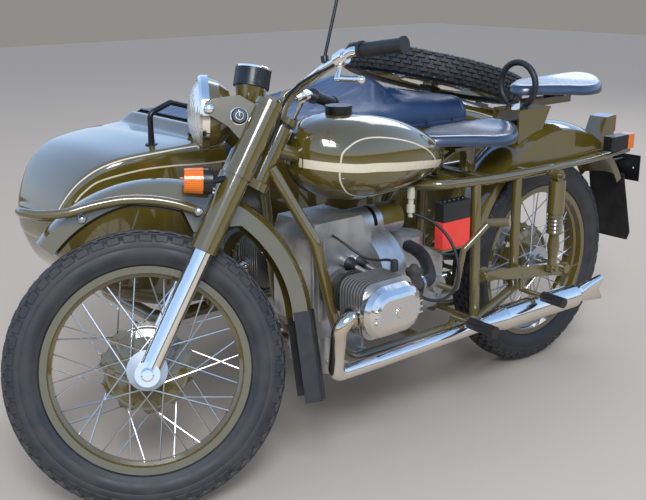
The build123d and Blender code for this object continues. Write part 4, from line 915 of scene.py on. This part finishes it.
saddle_rubber = Finish("saddle_rubber")
weave = (
    saddle_rubber.sine(saddle_rubber.along(0) * SADDLE_WEAVE)
    * saddle_rubber.sine(saddle_rubber.along(1) * SADDLE_WEAVE)
)
scuff = saddle_rubber.noise(9.0, 4.0)
saddle_rubber.set(
    Base_Color=saddle_rubber.mix(
        saddle_rubber.range(scuff, 0.45, 0.75, 0.0, 0.6), SADDLE_DARK, SADDLE_SCUFFED
    ),
    Roughness=saddle_rubber.range(scuff, 0.3, 0.7, 0.26, 0.36),
    Normal=saddle_rubber.bump(weave, 0.12, 0.0006),
    Coat_Weight=0.8,
    Coat_Roughness=0.24,
    Coat_IOR=1.7,
)
for name, place in SADDLE_PLACES.items():
    saddle = show(f"{name}_pad", saddle_mesh(place), saddle_rubber, "frame", "rubber", name)

# Spring block under each saddle: a round steel drum, dull and dark, that stands on the saddle's bracket and
# holds the pad by one bolt from below.
BLOCK_OUTLINE = [(0.0015, 0.0), (0.0015, 0.030), (-0.004, 0.034), (-0.0355, 0.034), (-0.0355, 0.0)]
for name, place in SADDLE_PLACES.items():
    upright = Matrix.Translation(place) @ Matrix.Rotation(math.radians(90), 4, "X")
    show(f"{name}_block", lathe(BLOCK_OUTLINE, upright, 40), iron, "frame", "iron")

# Sidecar cover in dark vinyl-coated cloth, its blue partly the cloth's own colour and partly a painted
# reflection of the blue sky, tented over the cockpit on a folded hoop, with a skirt that turns down over the
# body's rounded edge. It is snapped on along both sides and sags between in long folds.
COVER_BACK = -0.016
COVER_FRONT = 0.972
COVER_MIDDLE = -0.615
COVER_HALF = 0.221
COVER_LONG = 84
COVER_WIDE = 46
COVER_LOW = 0.8515
DECK_TOP = 0.850
# Height of the tent's ridge along the body
COVER_RIDGE = [(-0.02, 0.850), (0.06, 0.880), (0.28, 0.924), (0.70, 0.881), (0.955, 0.858), (0.975, 0.850)]
# Folds: their two ends as x and distance from the middle, height and width
COVER_FOLDS = [
    ((0.28, 0.05), (0.02, 0.19), 0.010, 0.016), ((0.17, 0.08), (0.31, 0.235), -0.020, 0.016),
    ((0.24, 0.08), (0.37, 0.235), 0.012, 0.018), ((0.29, 0.14), (0.22, 0.216), 0.006, 0.012),
    ((0.30, 0.10), (0.66, 0.20), 0.006, 0.020), ((0.32, 0.03), (0.90, 0.16), 0.005, 0.022),
    ((0.74, 0.02), (0.955, 0.14), 0.006, 0.018), ((0.28, -0.05), (0.03, -0.18), 0.009, 0.016),
    ((0.26, -0.11), (0.12, -0.21), -0.006, 0.014), ((0.30, -0.09), (0.62, -0.20), 0.007, 0.020),
    ((0.33, -0.02), (0.93, -0.12), 0.005, 0.024), ((0.60, -0.05), (0.95, -0.19), -0.004, 0.020),
]
# The skirt: the deck's half width at the back and its loss in a metre forward, the edge's radius and the
# height of its centre, the cloth's clearance, the lowest point, the number of lanes, the share of them that
# turns over the edge, and the place of one fold
SKIRT_HALF = 0.285
SKIRT_TAPER = 0.0188
SKIRT_ROUND = 0.060
EDGE_CENTRE = 0.788
SKIRT_CLEAR = 0.0035
SKIRT_LOW = 0.776
SKIRT_LANES = 9
SKIRT_TURNED = 0.8
SKIRT_FOLD = 0.352
# The far rear corner is cut away for the spare tyre of the open lid: how far, along how much, and beyond
# which side
CORNER_CUT = 0.036
CORNER_REACH = 0.12
CORNER_SIDE = -0.832
# The hoop that holds the cloth up: its place along the body, and the lanes at each side that it leaves free
HOOP = (0.26, 0.30)
HOOP_FREE = 8
SETTLING_FRAMES = 24
MOST_SAG = 0.03
# The cloth's blue is partly its own dark colour and partly a painted reflection of the blue sky
CLOTH_BLUE = (0.012, 0.038, 0.108)
CLOTH_PALE = (0.024, 0.066, 0.165)


def between(table, place):
    """Height in a table of (place, height) rows."""
    for (back, low), (front, high) in zip(table, table[1:]):
        if place <= front:
            return low + (high - low) * (place - back) / (front - back)
    return table[-1][1]


def crease(point, start, end, height, wide):
    """Height of a fold at a point, fading at the fold's ends."""
    start, end = Vector(start), Vector(end)
    way = end - start
    share = max(0.0, min(1.0, (point - start).dot(way) / way.length_squared))
    away = (point - start - way * share).length
    return height * math.exp(-((away / wide) ** 2)) * math.sin(math.pi * min(1.0, 0.12 + 0.88 * share)) ** 0.5


def skirt_spot(x, lane):
    """Distance from the middle and height of the skirt, from the tent's edge, lane 0, to its lower hem."""
    half = SKIRT_HALF - SKIRT_TAPER * max(x, 0.0)
    share = lane / SKIRT_LANES
    ripple = 0.0035 * math.sin(26.0 * x) * math.sin(61.0 * x + 1.0) * share
    ripple += 0.008 * math.exp(-(((x - SKIRT_FOLD) / 0.022) ** 2)) * min(1.0, 2 * share)
    out = max(0.0, ripple)
    if share < SKIRT_TURNED:
        turn = math.radians(90 - 90 * share / SKIRT_TURNED)
        lift = SKIRT_ROUND + SKIRT_CLEAR
        return half - SKIRT_ROUND + lift * math.cos(turn) + out, EDGE_CENTRE + lift * math.sin(turn)
    below = (share - SKIRT_TURNED) / (1 - SKIRT_TURNED)
    return half + SKIRT_CLEAR + out, EDGE_CENTRE - (EDGE_CENTRE - SKIRT_LOW) * below


def cut_corner(x, y):
    """Where a point of the cover lies along the body, once its far rear corner is cut away."""
    back = max(0.0, 1.0 - (x - COVER_BACK) / CORNER_REACH)
    side = min(1.0, max(0.0, (CORNER_SIDE - y) / 0.03))
    return x + CORNER_CUT * back * side


def cover_rows():
    """Places of the cloth's rows of points along the body."""
    return [COVER_BACK + (COVER_FRONT - COVER_BACK) * row / COVER_LONG for row in range(COVER_LONG + 1)]


def cover_mesh():
    """The cloth before it settles, and the numbers of the points that are held."""
    verts = []
    pinned = []
    for row, x in enumerate(cover_rows()):
        first = len(verts)
        for lane in range(SKIRT_LANES, 0, -1):
            across, z = skirt_spot(x, lane)
            verts.append((cut_corner(x, COVER_MIDDLE - across), COVER_MIDDLE - across, z))
        for lane in range(COVER_WIDE + 1):
            v = 2 * lane / COVER_WIDE - 1
            shoulder = 1 - abs(v) ** 2.2
            z = COVER_LOW + (between(COVER_RIDGE, x) - DECK_TOP) * shoulder
            for fold in COVER_FOLDS:
                z += crease(Vector((x, v * COVER_HALF)), *fold)
            y = COVER_MIDDLE + COVER_HALF * v
            verts.append((cut_corner(x, y), y, max(z, COVER_LOW)))
        for lane in range(1, SKIRT_LANES + 1):
            across, z = skirt_spot(x, lane)
            verts.append((x, COVER_MIDDLE + across, z))
        lanes = range(len(verts) - first)
        for lane in lanes:
            on_tent = SKIRT_LANES < lane < SKIRT_LANES + COVER_WIDE
            free = SKIRT_LANES + HOOP_FREE
            on_hoop = HOOP[0] < x < HOOP[1] and free <= lane <= len(lanes) - 1 - free
            if row in (0, COVER_LONG) or not on_tent or on_hoop:
                pinned.append(first + lane)
    wide = len(lanes)
    faces = []
    for row in range(COVER_LONG):
        for lane in range(wide - 1):
            corner = row * wide + lane
            faces.append((corner, corner + wide, corner + wide + 1, corner + 1))
    return mesh_of("cover", verts, faces), pinned


def draped(flat, pinned):
    """The cloth as it settles between the points where it is held, in a cloth simulation."""
    carrier = bpy.data.objects.new("draping", flat)
    bpy.context.scene.collection.objects.link(carrier)
    held = carrier.vertex_groups.new(name="held")
    held.add(pinned, 1.0, "REPLACE")
    modifier = carrier.modifiers.new("cloth", "CLOTH")
    modifier.settings.quality = 6
    modifier.settings.mass = 0.3
    modifier.settings.tension_stiffness = 60
    modifier.settings.compression_stiffness = 30
    modifier.settings.shear_stiffness = 8
    modifier.settings.bending_stiffness = 0.6
    modifier.settings.shrink_min = 0.0
    modifier.settings.vertex_group_mass = "held"
    modifier.collision_settings.use_collision = False
    for frame_number in range(1, SETTLING_FRAMES + 1):
        bpy.context.scene.frame_set(frame_number)
    view = bpy.context.evaluated_depsgraph_get()
    settled = bpy.data.meshes.new_from_object(carrier.evaluated_get(view))
    bpy.context.scene.frame_set(1)
    bpy.data.objects.remove(carrier)
    return settled


cloth = Finish("vinyl_cloth")
thread = cloth.sine(cloth.along(0) * 4200.0) * cloth.sine(cloth.along(1) * 4200.0)
creases = cloth.noise(16.0, 6.0)
cloth.set(
    Base_Color=cloth.mix(cloth.range(cloth.noise(6.0, 4.0), 0.4, 0.75, 0.0, 0.7), CLOTH_BLUE, CLOTH_PALE),
    Roughness=cloth.range(creases, 0.3, 0.7, 0.34, 0.50),
    Normal=cloth.bump(creases + thread * 0.03, 0.35, 0.004),
    Coat_Weight=0.25,
    Coat_Roughness=0.5,
)
flat_cloth, pinned = cover_mesh()
settled_cloth = draped(flat_cloth, pinned)
for vert, start in zip(settled_cloth.vertices, flat_cloth.vertices):
    move = vert.co - start.co
    if move.length > MOST_SAG:
        vert.co = start.co + move * (MOST_SAG / move.length)
    if abs(vert.co.y - COVER_MIDDLE) < COVER_HALF:
        vert.co.z = max(vert.co.z, COVER_LOW - 0.001)
cover = show("cover_cloth", smooth(settled_cloth, 80.0), cloth, "frame", "vinyl", "sidecar_cover")

# Hem of the cover: a doubled edge of the same cloth, turned in and stitched flat. It runs along the skirt's
# lower edge on both sides and over the deck at both ends.
HEM_WIDE = 0.007
HEM_HIGH = 0.0024
HEM_SIDES = 8
HEM_DECK = 0.8512
EDGE_START = 0.79


def hem_end(x, side):
    """Points across the body at one end of the cover, from one side's lower hem to the other's."""
    down = [skirt_spot(x, lane) for lane in range(SKIRT_LANES - 1, 0, -1)]
    spots = [(x, COVER_MIDDLE + side * across, z) for across, z in down]
    spots += [(x, COVER_MIDDLE + side * COVER_HALF * v, HEM_DECK) for v in (1, 0.8, 0.6, 0.4, 0.2, 0)]
    spots += [(x, 2 * COVER_MIDDLE - y, z) for _, y, z in reversed(spots[:-1])]
    return [(cut_corner(x, y), y, z) for _, y, z in spots]


def hem_side(x, side):
    """Point of the skirt's lower edge."""
    across, z = skirt_spot(x, SKIRT_LANES)
    return cut_corner(x, COVER_MIDDLE + side * across), COVER_MIDDLE + side * across, z


def welt(loop, wide, high):
    """Mesh of a flattened roll along a closed loop of points, lying on the body behind it."""
    verts = []
    points = [Vector(point) for point in loop]
    for index, point in enumerate(points):
        along = (points[(index + 1) % len(points)] - points[index - 1]).normalized()
        outward = Vector((0, point.y - COVER_MIDDLE, max(0.0, point.z - EDGE_START) * 4)).normalized()
        if point.z > DECK_TOP:
            outward = Vector((0, 0, 1))
        sideways = along.cross(outward).normalized()
        for step in range(HEM_SIDES):
            turn = 2 * math.pi * step / HEM_SIDES
            verts.append(point + sideways * wide * math.cos(turn) + outward * high * math.sin(turn))
    return turned_out(mesh_of("welt", verts, ring_faces(len(points), HEM_SIDES, closed=True)), 60.0)


hem_rows = cover_rows()[::2]
hem_loop = (
    [hem_side(x, 1) for x in hem_rows] + hem_end(COVER_FRONT, 1)
    + [hem_side(x, -1) for x in reversed(hem_rows)] + hem_end(COVER_BACK, -1)
)
hem = show("cover_hem", welt(hem_loop, HEM_WIDE, HEM_HIGH), cloth, "frame", "vinyl")

# Snap fasteners of the cover: small domed caps of black plastic, eight along each side, pressed through the
# skirt just above its hem.
SNAP_FIRST = 0.05
SNAP_PITCH = 0.125
SNAPS_A_SIDE = 8
SNAP_PROUD = 0.002
SNAP_ABOVE_HEM = 0.008
SNAP_R = 0.0055
SNAP_HIGH = 0.0035
# A dome's rings, from its foot up: share of the radius, and share of the height
DOME_RINGS = [(1.0, 0.0), (1.0, 0.35), (0.86, 0.62), (0.6, 0.85), (0.3, 0.97)]


def dome(radius, high, sides=12):
    """Mesh of a domed head on z = 0, round or, with six sides, a bolt's."""
    verts = []
    for share, rise in DOME_RINGS:
        for step in range(sides):
            turn = 2 * math.pi * step / sides
            verts.append((radius * share * math.cos(turn), radius * share * math.sin(turn), high * rise))
    top = (len(DOME_RINGS) - 1) * sides
    faces = ring_faces(len(DOME_RINGS), sides) + [tuple(top + step for step in range(sides))]
    return mesh_of("dome", verts, faces)


def heads(name, radius, high, sides, places, finish, body, slot):
    """Domed heads at a list of matrices, as one piece."""
    show(name, smooth(copies(dome(radius, high, sides), places, finish), 40.0), finish, body, slot)


snaps = []
for count in range(SNAPS_A_SIDE):
    x = SNAP_FIRST + SNAP_PITCH * count
    for side in (1, -1):
        y = COVER_MIDDLE + side * (skirt_spot(x, SKIRT_LANES)[0] + SNAP_PROUD)
        facing = Matrix.Rotation(math.radians(-90 * side), 4, "X")
        snaps.append(Matrix.Translation((x, y, SKIRT_LOW + SNAP_ABOVE_HEM)) @ facing)
heads("cover_snaps", SNAP_R, SNAP_HIGH, 12, snaps, black, "frame", "black_plastic")

# Hexagon bolts of zinc-plated steel that hold the engine's front cover and sump, the gearbox's side covers and
# the final drive's cover. Each stands where a straight line from outside meets its casting; a place whose line
# meets nothing has no bolt.
FRONT_COVER_Z = 0.42
FRONT_COVER_R = 0.112
SUMP_Z = 0.262
DRIVE_COVER_R = 0.075
OUTSIDE = 0.5
zinc = Finish("zinc_bolts")
zinc.set(
    Base_Color=zinc.mix(zinc.noise(60.0), (0.50, 0.50, 0.50), (0.34, 0.33, 0.31)),
    Metallic=0.95,
    Roughness=zinc.range(zinc.noise(90.0), 0.3, 0.7, 0.22, 0.4),
)


def seat(node, start, way):
    """Matrix with z out of a CAD solid's surface, where a line from a start meets it, or nothing."""
    spot, normal, _, _ = skin(node).ray_cast(Vector(start), Vector(way).normalized())
    if spot is None:
        return None
    if normal.dot(Vector(way)) > 0:
        normal = -normal
    return Matrix.Translation(spot) @ normal.to_track_quat("Z", "Y").to_matrix().to_4x4()


def studs(name, radius, high, rows):
    """Bolt heads from rows of (node, start, way), without those whose line meets nothing."""
    places = [place for place in (seat(*row) for row in rows) if place is not None]
    heads(name, radius, high, 6, places, zinc, "frame", "chrome")


def round_cover(count, radius, height, shift=0.0):
    """Evenly spaced places round a cover: the distance along or across the machine, and the height."""
    turns = [2 * math.pi * (step + shift) / count for step in range(count)]
    return [(radius * math.cos(turn), height + radius * math.sin(turn)) for turn in turns]


front_bolts = []
for y, z in round_cover(10, FRONT_COVER_R, FRONT_COVER_Z):
    front_bolts.append(("engine_case", (1.2, y, z), (-1, 0, 0)))
sump_bolts = []
for x in (0.68, 0.75, 0.82, 0.89, 0.96):
    for side in (1, -1):
        sump_bolts.append(("engine_case", (x, side * OUTSIDE, SUMP_Z), (0, -side, 0)))
gear_bolts = []
for x in (0.52, 0.60, 0.69):
    for z in (0.35, 0.50):
        for side in (1, -1):
            gear_bolts.append(("gearbox", (x, side * OUTSIDE, z), (0, -side, 0)))
drive_bolts = []
for x, z in round_cover(8, DRIVE_COVER_R, TYRE_R, 0.5):
    drive_bolts.append(("final_drive", (x, -OUTSIDE, z), (0, 1, 0)))
studs("engine_studs", 0.0065, 0.006, front_bolts + sump_bolts)
studs("gearbox_studs", 0.006, 0.0055, gear_bolts)
studs("drive_studs", 0.0055, 0.005, drive_bolts)

# Feet of the sidecar's grab rail: two short black posts on round flanges, bolted through the nose panel, into
# which the rail's ends are pushed.
RAIL_Y = -0.440
# Each foot: x, height of the rail's end, and height of the panel
RAIL_ENDS = [(1.168, 0.846, 0.8115), (1.030, 0.850, 0.8275)]
rail_feet = []
for x, top, low in RAIL_ENDS:
    foot = Matrix.Translation((x, RAIL_Y, low)) @ Matrix.Rotation(math.radians(90), 4, "X")
    high = top - low
    outline = [(0.0, 0.0), (0.0, 0.018), (0.003, 0.018), (0.005, 0.0095), (high, 0.0085), (high, 0.0)]
    rail_feet.append(lathe(outline, foot, 24))
show("grab_rail_feet", join(*rail_feet), black, "frame", "black_paint")

# Headlamp: pressed glass with upright flutes in the chromed rim, and a domed pivot bolt through each of the
# fork's two ears, which carry the bowl between them.
LAMP_PIVOT = (1.226, 0.1052, 0.953)
glass = Finish("fluted_glass")
flutes = glass.add("ShaderNodeTexWave", {"bands_direction": "Y"}, {"Vector": glass.place(), "Scale": 30.0})
glass.set(
    Base_Color=(0.80, 0.84, 0.86, 1.0),
    Metallic=0.6,
    Roughness=0.05 + flutes * 0.05,
    Normal=glass.bump(flutes, 0.5, 0.002),
)
dress(glass, "headlamp_glass")
lamp_bolts = []
for side in (1, -1):
    x, y, z = LAMP_PIVOT
    facing = Matrix.Rotation(math.radians(-90 * side), 4, "X")
    lamp_bolts.append(fork_turn @ Matrix.Translation((x, side * y, z)) @ facing)
heads("lamp_bolts", 0.0125, 0.009, 16, lamp_bolts, chrome, "fork", "chrome")

# Ignition switch in the fork's left ear: a black drum in a chromed ring, with a bright key slot in its
# middle. It is pushed through the ear and held from behind by a nut.
SWITCH_OUTLINE = [(0.0, 0.0), (0.0, 0.0195), (0.010, 0.0185), (0.013, 0.0165), (0.013, 0.0)]
SWITCH_RING = [(0.0, 0.0196), (0.0, 0.0225), (0.003, 0.0220), (0.004, 0.0196)]
KEY_RING = [(0.0128, 0.0085), (0.0128, 0.0105), (0.0142, 0.0102), (0.0142, 0.0088)]
switch_place = fork_turn @ Matrix.Translation((1.157, 0.105, 0.9265))
slot_place = (
    switch_place @ Matrix.Translation((0.0, 0.0145, 0.006)) @ Matrix.Rotation(math.radians(-90), 4, "X")
    @ Matrix.Rotation(math.radians(90), 4, "Z")
)
key_slot = join(
    lathe(KEY_RING, switch_place, 32), copies(tread_block(0.0022, 0.017, 0.0015), [slot_place], chrome)
)
show("ignition_switch", lathe(SWITCH_OUTLINE, switch_place, 32), black, "fork", "black_plastic")
show("ignition_switch_ring", lathe(SWITCH_RING, switch_place, 32), chrome, "fork", "chrome")
show("ignition_key_slot", key_slot, chrome, "fork", "chrome")

# Bow of bent steel tube round the front fender, in olive enamel. A short rod with a bolt holds each end to
# the fender's side, and another pair holds it further forward.
BOW_R = 0.011
# The bow's left half from its rear end to the front: x, y and z
BOW_HALF = [
    (1.281, 0.092, 0.712), (1.330, 0.092, 0.735), (1.392, 0.092, 0.753), (1.455, 0.092, 0.7605),
    (1.520, 0.092, 0.757), (1.590, 0.092, 0.747), (1.648, 0.084, 0.750), (1.684, 0.062, 0.760),
    (1.701, 0.030, 0.767),
]
BOW_REAR_FOOT = [(1.281, 0.062, 0.712), (1.281, 0.085, 0.712), (1.281, 0.104, 0.712)]
BOW_FRONT_FOOT = [(1.560, 0.062, 0.744), (1.560, 0.075, 0.744), (1.560, 0.088, 0.748)]
BOW_BOLTS = [(1.2835, 0.103, 0.711), (1.5581, 0.0635, 0.7293)]


def round_curve(name, radius, kind, points, roundness):
    """Curve with a round section along points, with its ends closed."""
    curve = bpy.data.curves.new(name, "CURVE")
    curve.dimensions = "3D"
    curve.bevel_depth = radius
    curve.bevel_resolution = roundness
    curve.use_fill_caps = True
    spline = curve.splines.new(kind)
    spline.points.add(len(points) - 1)
    for control, point in zip(spline.points, points):
        control.co = (*point, 1.0)
    made = bpy.data.objects.new(name, curve)
    bpy.context.scene.collection.objects.link(made)
    return made, spline


def rod(points, radius, place):
    """Mesh of a round rod on a smooth line through points."""
    carrier, _ = round_curve("rod", radius, "POLY", smooth_line(points, step=0.006), 4)
    view = bpy.context.evaluated_depsgraph_get()
    mesh = bpy.data.meshes.new_from_object(carrier.evaluated_get(view))
    bpy.data.objects.remove(carrier)
    mesh.transform(place)
    return smooth(mesh)


bow_feet = []
bow_bolts = []
for side in (1, -1):
    facing = Matrix.Rotation(math.radians(-90 * side), 4, "X")
    for foot, radius in ((BOW_REAR_FOOT, 0.008), (BOW_FRONT_FOOT, 0.006)):
        bow_feet.append(rod([(x, side * y, z) for x, y, z in foot], radius, fork_turn))
    for x, y, z in BOW_BOLTS:
        bow_bolts.append(fork_turn @ Matrix.Translation((x, side * y, z)) @ facing)
bow = rod(BOW_HALF + mirrored(BOW_HALF)[::-1], BOW_R, fork_turn)
show("fender_bow_rod", join(bow, *bow_feet), olive, "fork", "olive", "fender_bow")
heads("fender_bow_bolts", 0.0125, 0.009, 6, bow_bolts, zinc, "fork", "chrome")

# Clock on the top yoke: a chromed bezel over a dark dial with plain pale marks. It is let into its housing,
# which leans back towards the rider.
CLOCK_MIDDLE = (1.098, 0, 1.033)
CLOCK_SLOPE = math.radians(16.0)
BEZEL_OUTLINE = [(0.0205, 0.0462), (0.0245, 0.0468), (0.0262, 0.0452), (0.0262, 0.0405), (0.0252, 0.040)]
DIAL_OUTLINE = [(0.0248, 0.0), (0.0254, 0.0), (0.0254, 0.0404), (0.0248, 0.0404)]
CLOCK_MARKS = 13
MARK_R = 0.034
clock_place = (
    fork_turn @ Matrix.Translation(CLOCK_MIDDLE) @ Matrix.Rotation(-CLOCK_SLOPE, 4, "Y")
    @ Matrix.Rotation(math.radians(90), 4, "X")
)
show("clock_bezel", lathe(BEZEL_OUTLINE, clock_place, 64), chrome, "fork", "chrome")
dial = Finish("clock_dial")
dial.set(Base_Color=(0.02, 0.02, 0.022, 1.0), Roughness=dial.range(dial.noise(80.0), 0.3, 0.7, 0.15, 0.3))
marks = []
for mark in range(CLOCK_MARKS):
    marks.append(
        clock_place @ Matrix.Rotation(math.radians(-135 + 22.5 * mark), 4, "Y")
        @ Matrix.Translation((0, 0.0256, MARK_R)) @ Matrix.Rotation(math.radians(-90), 4, "X")
    )
show("clock_face", lathe(DIAL_OUTLINE, clock_place, 48), dial, "fork", "black_plastic")
show("clock_marks", copies(tread_block(0.0055, 0.0016, 0.0004), marks, cream), cream, "fork", "black_plastic")

# Mirror glass: a round silvered pane, pressed into the back of the mirror's black shell and facing the rider
# from the left grip.
MIRROR_MIDDLE = (0.880, 0.245, 1.245)
PANE_OUTLINE = [(0.0, 0.0), (0.0008, 0.0), (0.0008, 0.0535), (0.0, 0.0545)]
looking_glass = Finish("mirror_glass")
looking_glass.set(
    Base_Color=(0.85, 0.87, 0.88, 1.0), Metallic=1.0, Roughness=0.02 + looking_glass.noise(20.0) * 0.02
)
mirror_place = (
    fork_turn @ Matrix.Translation(MIRROR_MIDDLE) @ Matrix.Rotation(math.radians(-5.71), 4, "Y")
    @ Matrix.Rotation(math.radians(90), 4, "Z")
)
show("mirror_pane", lathe(PANE_OUTLINE, mirror_place, 64), looking_glass, "fork", "black_plastic")

# Ignition leads and petrol hoses in black rubber, one of each on either side, between their fittings. The
# leads end in caps pushed on the plugs, the hoses hang from pale plastic taps that are screwed up into the
# tank, and moulded rubber boots close the pushrod tubes at the engine case.
CYLINDER_STAGGER = 0.040
# Each cylinder: side, and x of its middle
CYLINDER_PLACES = ((1, 0.928), (-1, 0.888))
# Each tube: distance behind the cylinder's middle, and height
TUBE_PLACES = ((0.028, 0.534), (0.066, 0.530))
BOOT_OUTLINE = [
    (0.0, 0.0076), (0.0, 0.019), (0.004, 0.0200), (0.010, 0.0165), (0.018, 0.0120), (0.030, 0.0100),
    (0.030, 0.0076),
]
PLUG_CAP_OUTLINE = [(0.0, 0.0), (0.0, 0.0105), (0.018, 0.0105), (0.027, 0.0095), (0.030, 0.006), (0.030, 0.0)]
TAP_PLACE = (0.640, 0.070, 0.612)
TAP_OUTLINE = [
    (0.0, 0.0), (0.0, 0.007), (0.012, 0.008), (0.014, 0.012), (0.034, 0.012), (0.036, 0.008), (0.052, 0.008),
    (0.054, 0.011), (0.075, 0.011), (0.086, 0.009), (0.086, 0.0),
]
# The lead's points: distance ahead of the cylinder's middle, distance from the machine's middle, and height
LEAD_ROUTE = [
    (0.010, 0.080, 0.613), (0.009, 0.108, 0.607), (-0.012, 0.140, 0.580), (-0.030, 0.168, 0.562),
    (-0.045, 0.198, 0.561), (-0.052, 0.228, 0.570), (-0.053, 0.245, 0.569),
]
LEAD_R = 0.0035
# The hose's points on the left side: x, y and z
HOSE_ROUTE = [
    (0.640, 0.072, 0.622), (0.622, 0.100, 0.616), (0.598, 0.150, 0.592), (0.592, 0.205, 0.535),
    (0.630, 0.258, 0.455), (0.705, 0.268, 0.428), (0.760, 0.262, 0.440), (0.776, 0.252, 0.452),
]
HOSE_R = 0.0045


def lead(name, points, radius, body="frame"):
    """A round rubber hose on a smooth spline through the control points, between two fittings."""
    made, spline = round_curve(name, radius, "NURBS", points, 3)
    made.data.resolution_u = 10
    spline.order_u = 3
    spline.use_endpoint_u = True
    made.data.materials.append(soft_rubber.material)
    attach(made, body)


boots = []
plug_caps = []
taps = []
for side, x in CYLINDER_PLACES:
    hand = "left" if side > 0 else "right"
    facing = Matrix.Rotation(0.0 if side > 0 else math.pi, 4, "Z")
    upright = Matrix.Rotation(math.radians(90), 4, "X")
    for behind, height in TUBE_PLACES:
        aim = Matrix.Translation((x - behind, side * 0.1022, height)) @ facing
        boots.append(lathe(BOOT_OUTLINE, aim @ Matrix.Rotation(math.radians(-8), 4, "X"), 28))
    plug = Matrix.Translation((x - 0.053, side * 0.250, 0.5445)) @ upright
    plug_caps.append(lathe(PLUG_CAP_OUTLINE, plug, 20))
    tap_x, tap_y, tap_z = TAP_PLACE
    taps.append(lathe(TAP_OUTLINE, Matrix.Translation((tap_x, side * tap_y, tap_z)) @ upright, 20))
    route = [(x + ahead, side * across, up) for ahead, across, up in LEAD_ROUTE]
    lead(f"ignition_lead_{hand}", route, LEAD_R)
    drop = 0.0 if side > 0 else -CYLINDER_STAGGER
    route = [(px + drop * min(1.0, max(0.0, (py - 0.15) / 0.1)), side * py, pz) for px, py, pz in HOSE_ROUTE]
    lead(f"fuel_hose_{hand}", route, HOSE_R)
show("pushrod_boots", join(*boots), soft_rubber, "frame", "rubber")
show("plug_caps", join(*plug_caps), soft_rubber, "frame", "rubber")
pale = Finish("pale_plastic")
pale.set(Base_Color=(0.55, 0.56, 0.45, 1.0), Roughness=pale.range(pale.noise(60.0), 0.3, 0.7, 0.3, 0.45))
show("petrol_taps", join(*taps), pale, "frame", "alloy")

# Clutch cable and front brake cable in black rubber sleeves. Each runs from its lever's clamp in an easy bend
# down behind the fork, and turns with it.
CABLE_ROUTE = [
    (0.944, 0.262, 0.999), (0.962, 0.241, 0.994), (0.992, 0.200, 0.988), (1.022, 0.152, 0.974),
    (1.046, 0.108, 0.946), (1.060, 0.086, 0.908), (1.074, 0.077, 0.874), (1.092, 0.076, 0.842),
]
CABLE_R = 0.0033
for side, name in ((1, "clutch_cable"), (-1, "brake_cable")):
    route = [tuple(fork_turn @ Vector((x, side * y, z))) for x, y, z in CABLE_ROUTE]
    lead(name, route, CABLE_R, "fork")

# Carburettors: a dark cast body on each head with its float bowl below and slide chamber above, held by steel
# bands in a rubber duct that bends in to the air housing over the gearbox.
INTAKE_Y = 0.245
INTAKE_Z = 0.488
INTAKE_BEHIND = 0.026
# Each carburettor: side, and x of its flange on the head
INTAKE_PLACES = ((1, 0.8247), (-1, 0.7847))
AIR_HOUSING = (0.650, 0.022, 0.530)
DUCT_R = 0.0185
THROAT_OUTLINE = [
    (0.0, 0.0), (0.0, 0.024), (-0.006, 0.024), (-0.007, 0.0205), (-0.030, 0.0215), (-0.043, 0.0205),
    (-0.044, 0.0185), (-0.052, 0.0185), (-0.052, 0.0),
]
BOWL_OUTLINE = [
    (-0.052, 0.0), (-0.052, 0.017), (-0.048, 0.0230), (-0.042, 0.0250), (-0.022, 0.0250), (-0.021, 0.0270),
    (-0.016, 0.0270), (-0.014, 0.0200), (-0.014, 0.0),
]
CHAMBER_OUTLINE = [
    (0.0, 0.0), (0.0, 0.0205), (0.034, 0.0205), (0.035, 0.0225), (0.043, 0.0225), (0.045, 0.0150),
    (0.050, 0.0120), (0.056, 0.0090), (0.056, 0.0),
]
BAND_OUTLINE = [(-0.046, 0.0195), (-0.046, 0.0212), (-0.054, 0.0212), (-0.054, 0.0195)]
castings = []
ducts = []
bands = []
for side, mouth in INTAKE_PLACES:
    level = Matrix.Translation((mouth, side * INTAKE_Y, INTAKE_Z)) @ Matrix.Rotation(math.radians(-90), 4, "Z")
    upright = (
        Matrix.Translation((mouth - INTAKE_BEHIND, side * INTAKE_Y, INTAKE_Z))
        @ Matrix.Rotation(math.radians(90), 4, "X")
    )
    castings.append(lathe(THROAT_OUTLINE, level, 40))
    castings.append(lathe(BOWL_OUTLINE, upright, 40))
    castings.append(lathe(CHAMBER_OUTLINE, upright, 40))
    bands.append(lathe(BAND_OUTLINE, level, 40))
    route = [
        (mouth - 0.044, side * 0.245, 0.488), (mouth - 0.060, side * 0.2445, 0.488),
        (mouth - 0.092, side * 0.236, 0.490), (mouth - 0.122, side * 0.205, 0.500),
        (0.670, side * 0.155, 0.517), (0.657, side * 0.110, 0.527),
        (AIR_HOUSING[0], side * 0.050 + AIR_HOUSING[1], AIR_HOUSING[2]),
    ]
    ducts.append(rod(route, DUCT_R, Matrix.Identity(4)))
show("carburettor_ducts", join(*ducts), soft_rubber, "frame", "rubber", "carburettors")
show("carburettor_bodies", join(*castings), iron, "frame", "iron")
show("carburettor_bands", join(*bands), zinc, "frame", "chrome")

# Battery: a red plastic case with a dark lid, and five black cell caps screwed into it. It stands at the
# frame's left side, ahead of the rear wheel.
BATTERY_LID = 0.585
BATTERY_TOP = 0.640
CAP_Y = 0.0945
CAP_PLACES = (0.452, 0.471, 0.490, 0.509, 0.528)
BATTERY_RED = (0.98, 0.075, 0.060)
BATTERY_RED_WORN = (0.84, 0.055, 0.045)
BATTERY_DARK = (0.020, 0.020, 0.022)
red_case = Finish("red_case")
case_red = red_case.mix(red_case.noise(20.0), BATTERY_RED, BATTERY_RED_WORN)
red_case.set(
    Base_Color=red_case.mix(red_case.along(2) > BATTERY_LID, case_red, BATTERY_DARK),
    Roughness=red_case.range(red_case.noise(70.0), 0.3, 0.7, 0.28, 0.42),
)
dress(red_case, "battery")
cell_caps = [Matrix.Translation((x, CAP_Y, BATTERY_TOP)) for x in CAP_PLACES]
heads("battery_caps", 0.0075, 0.009, 12, cell_caps, black, "frame", "black_plastic")
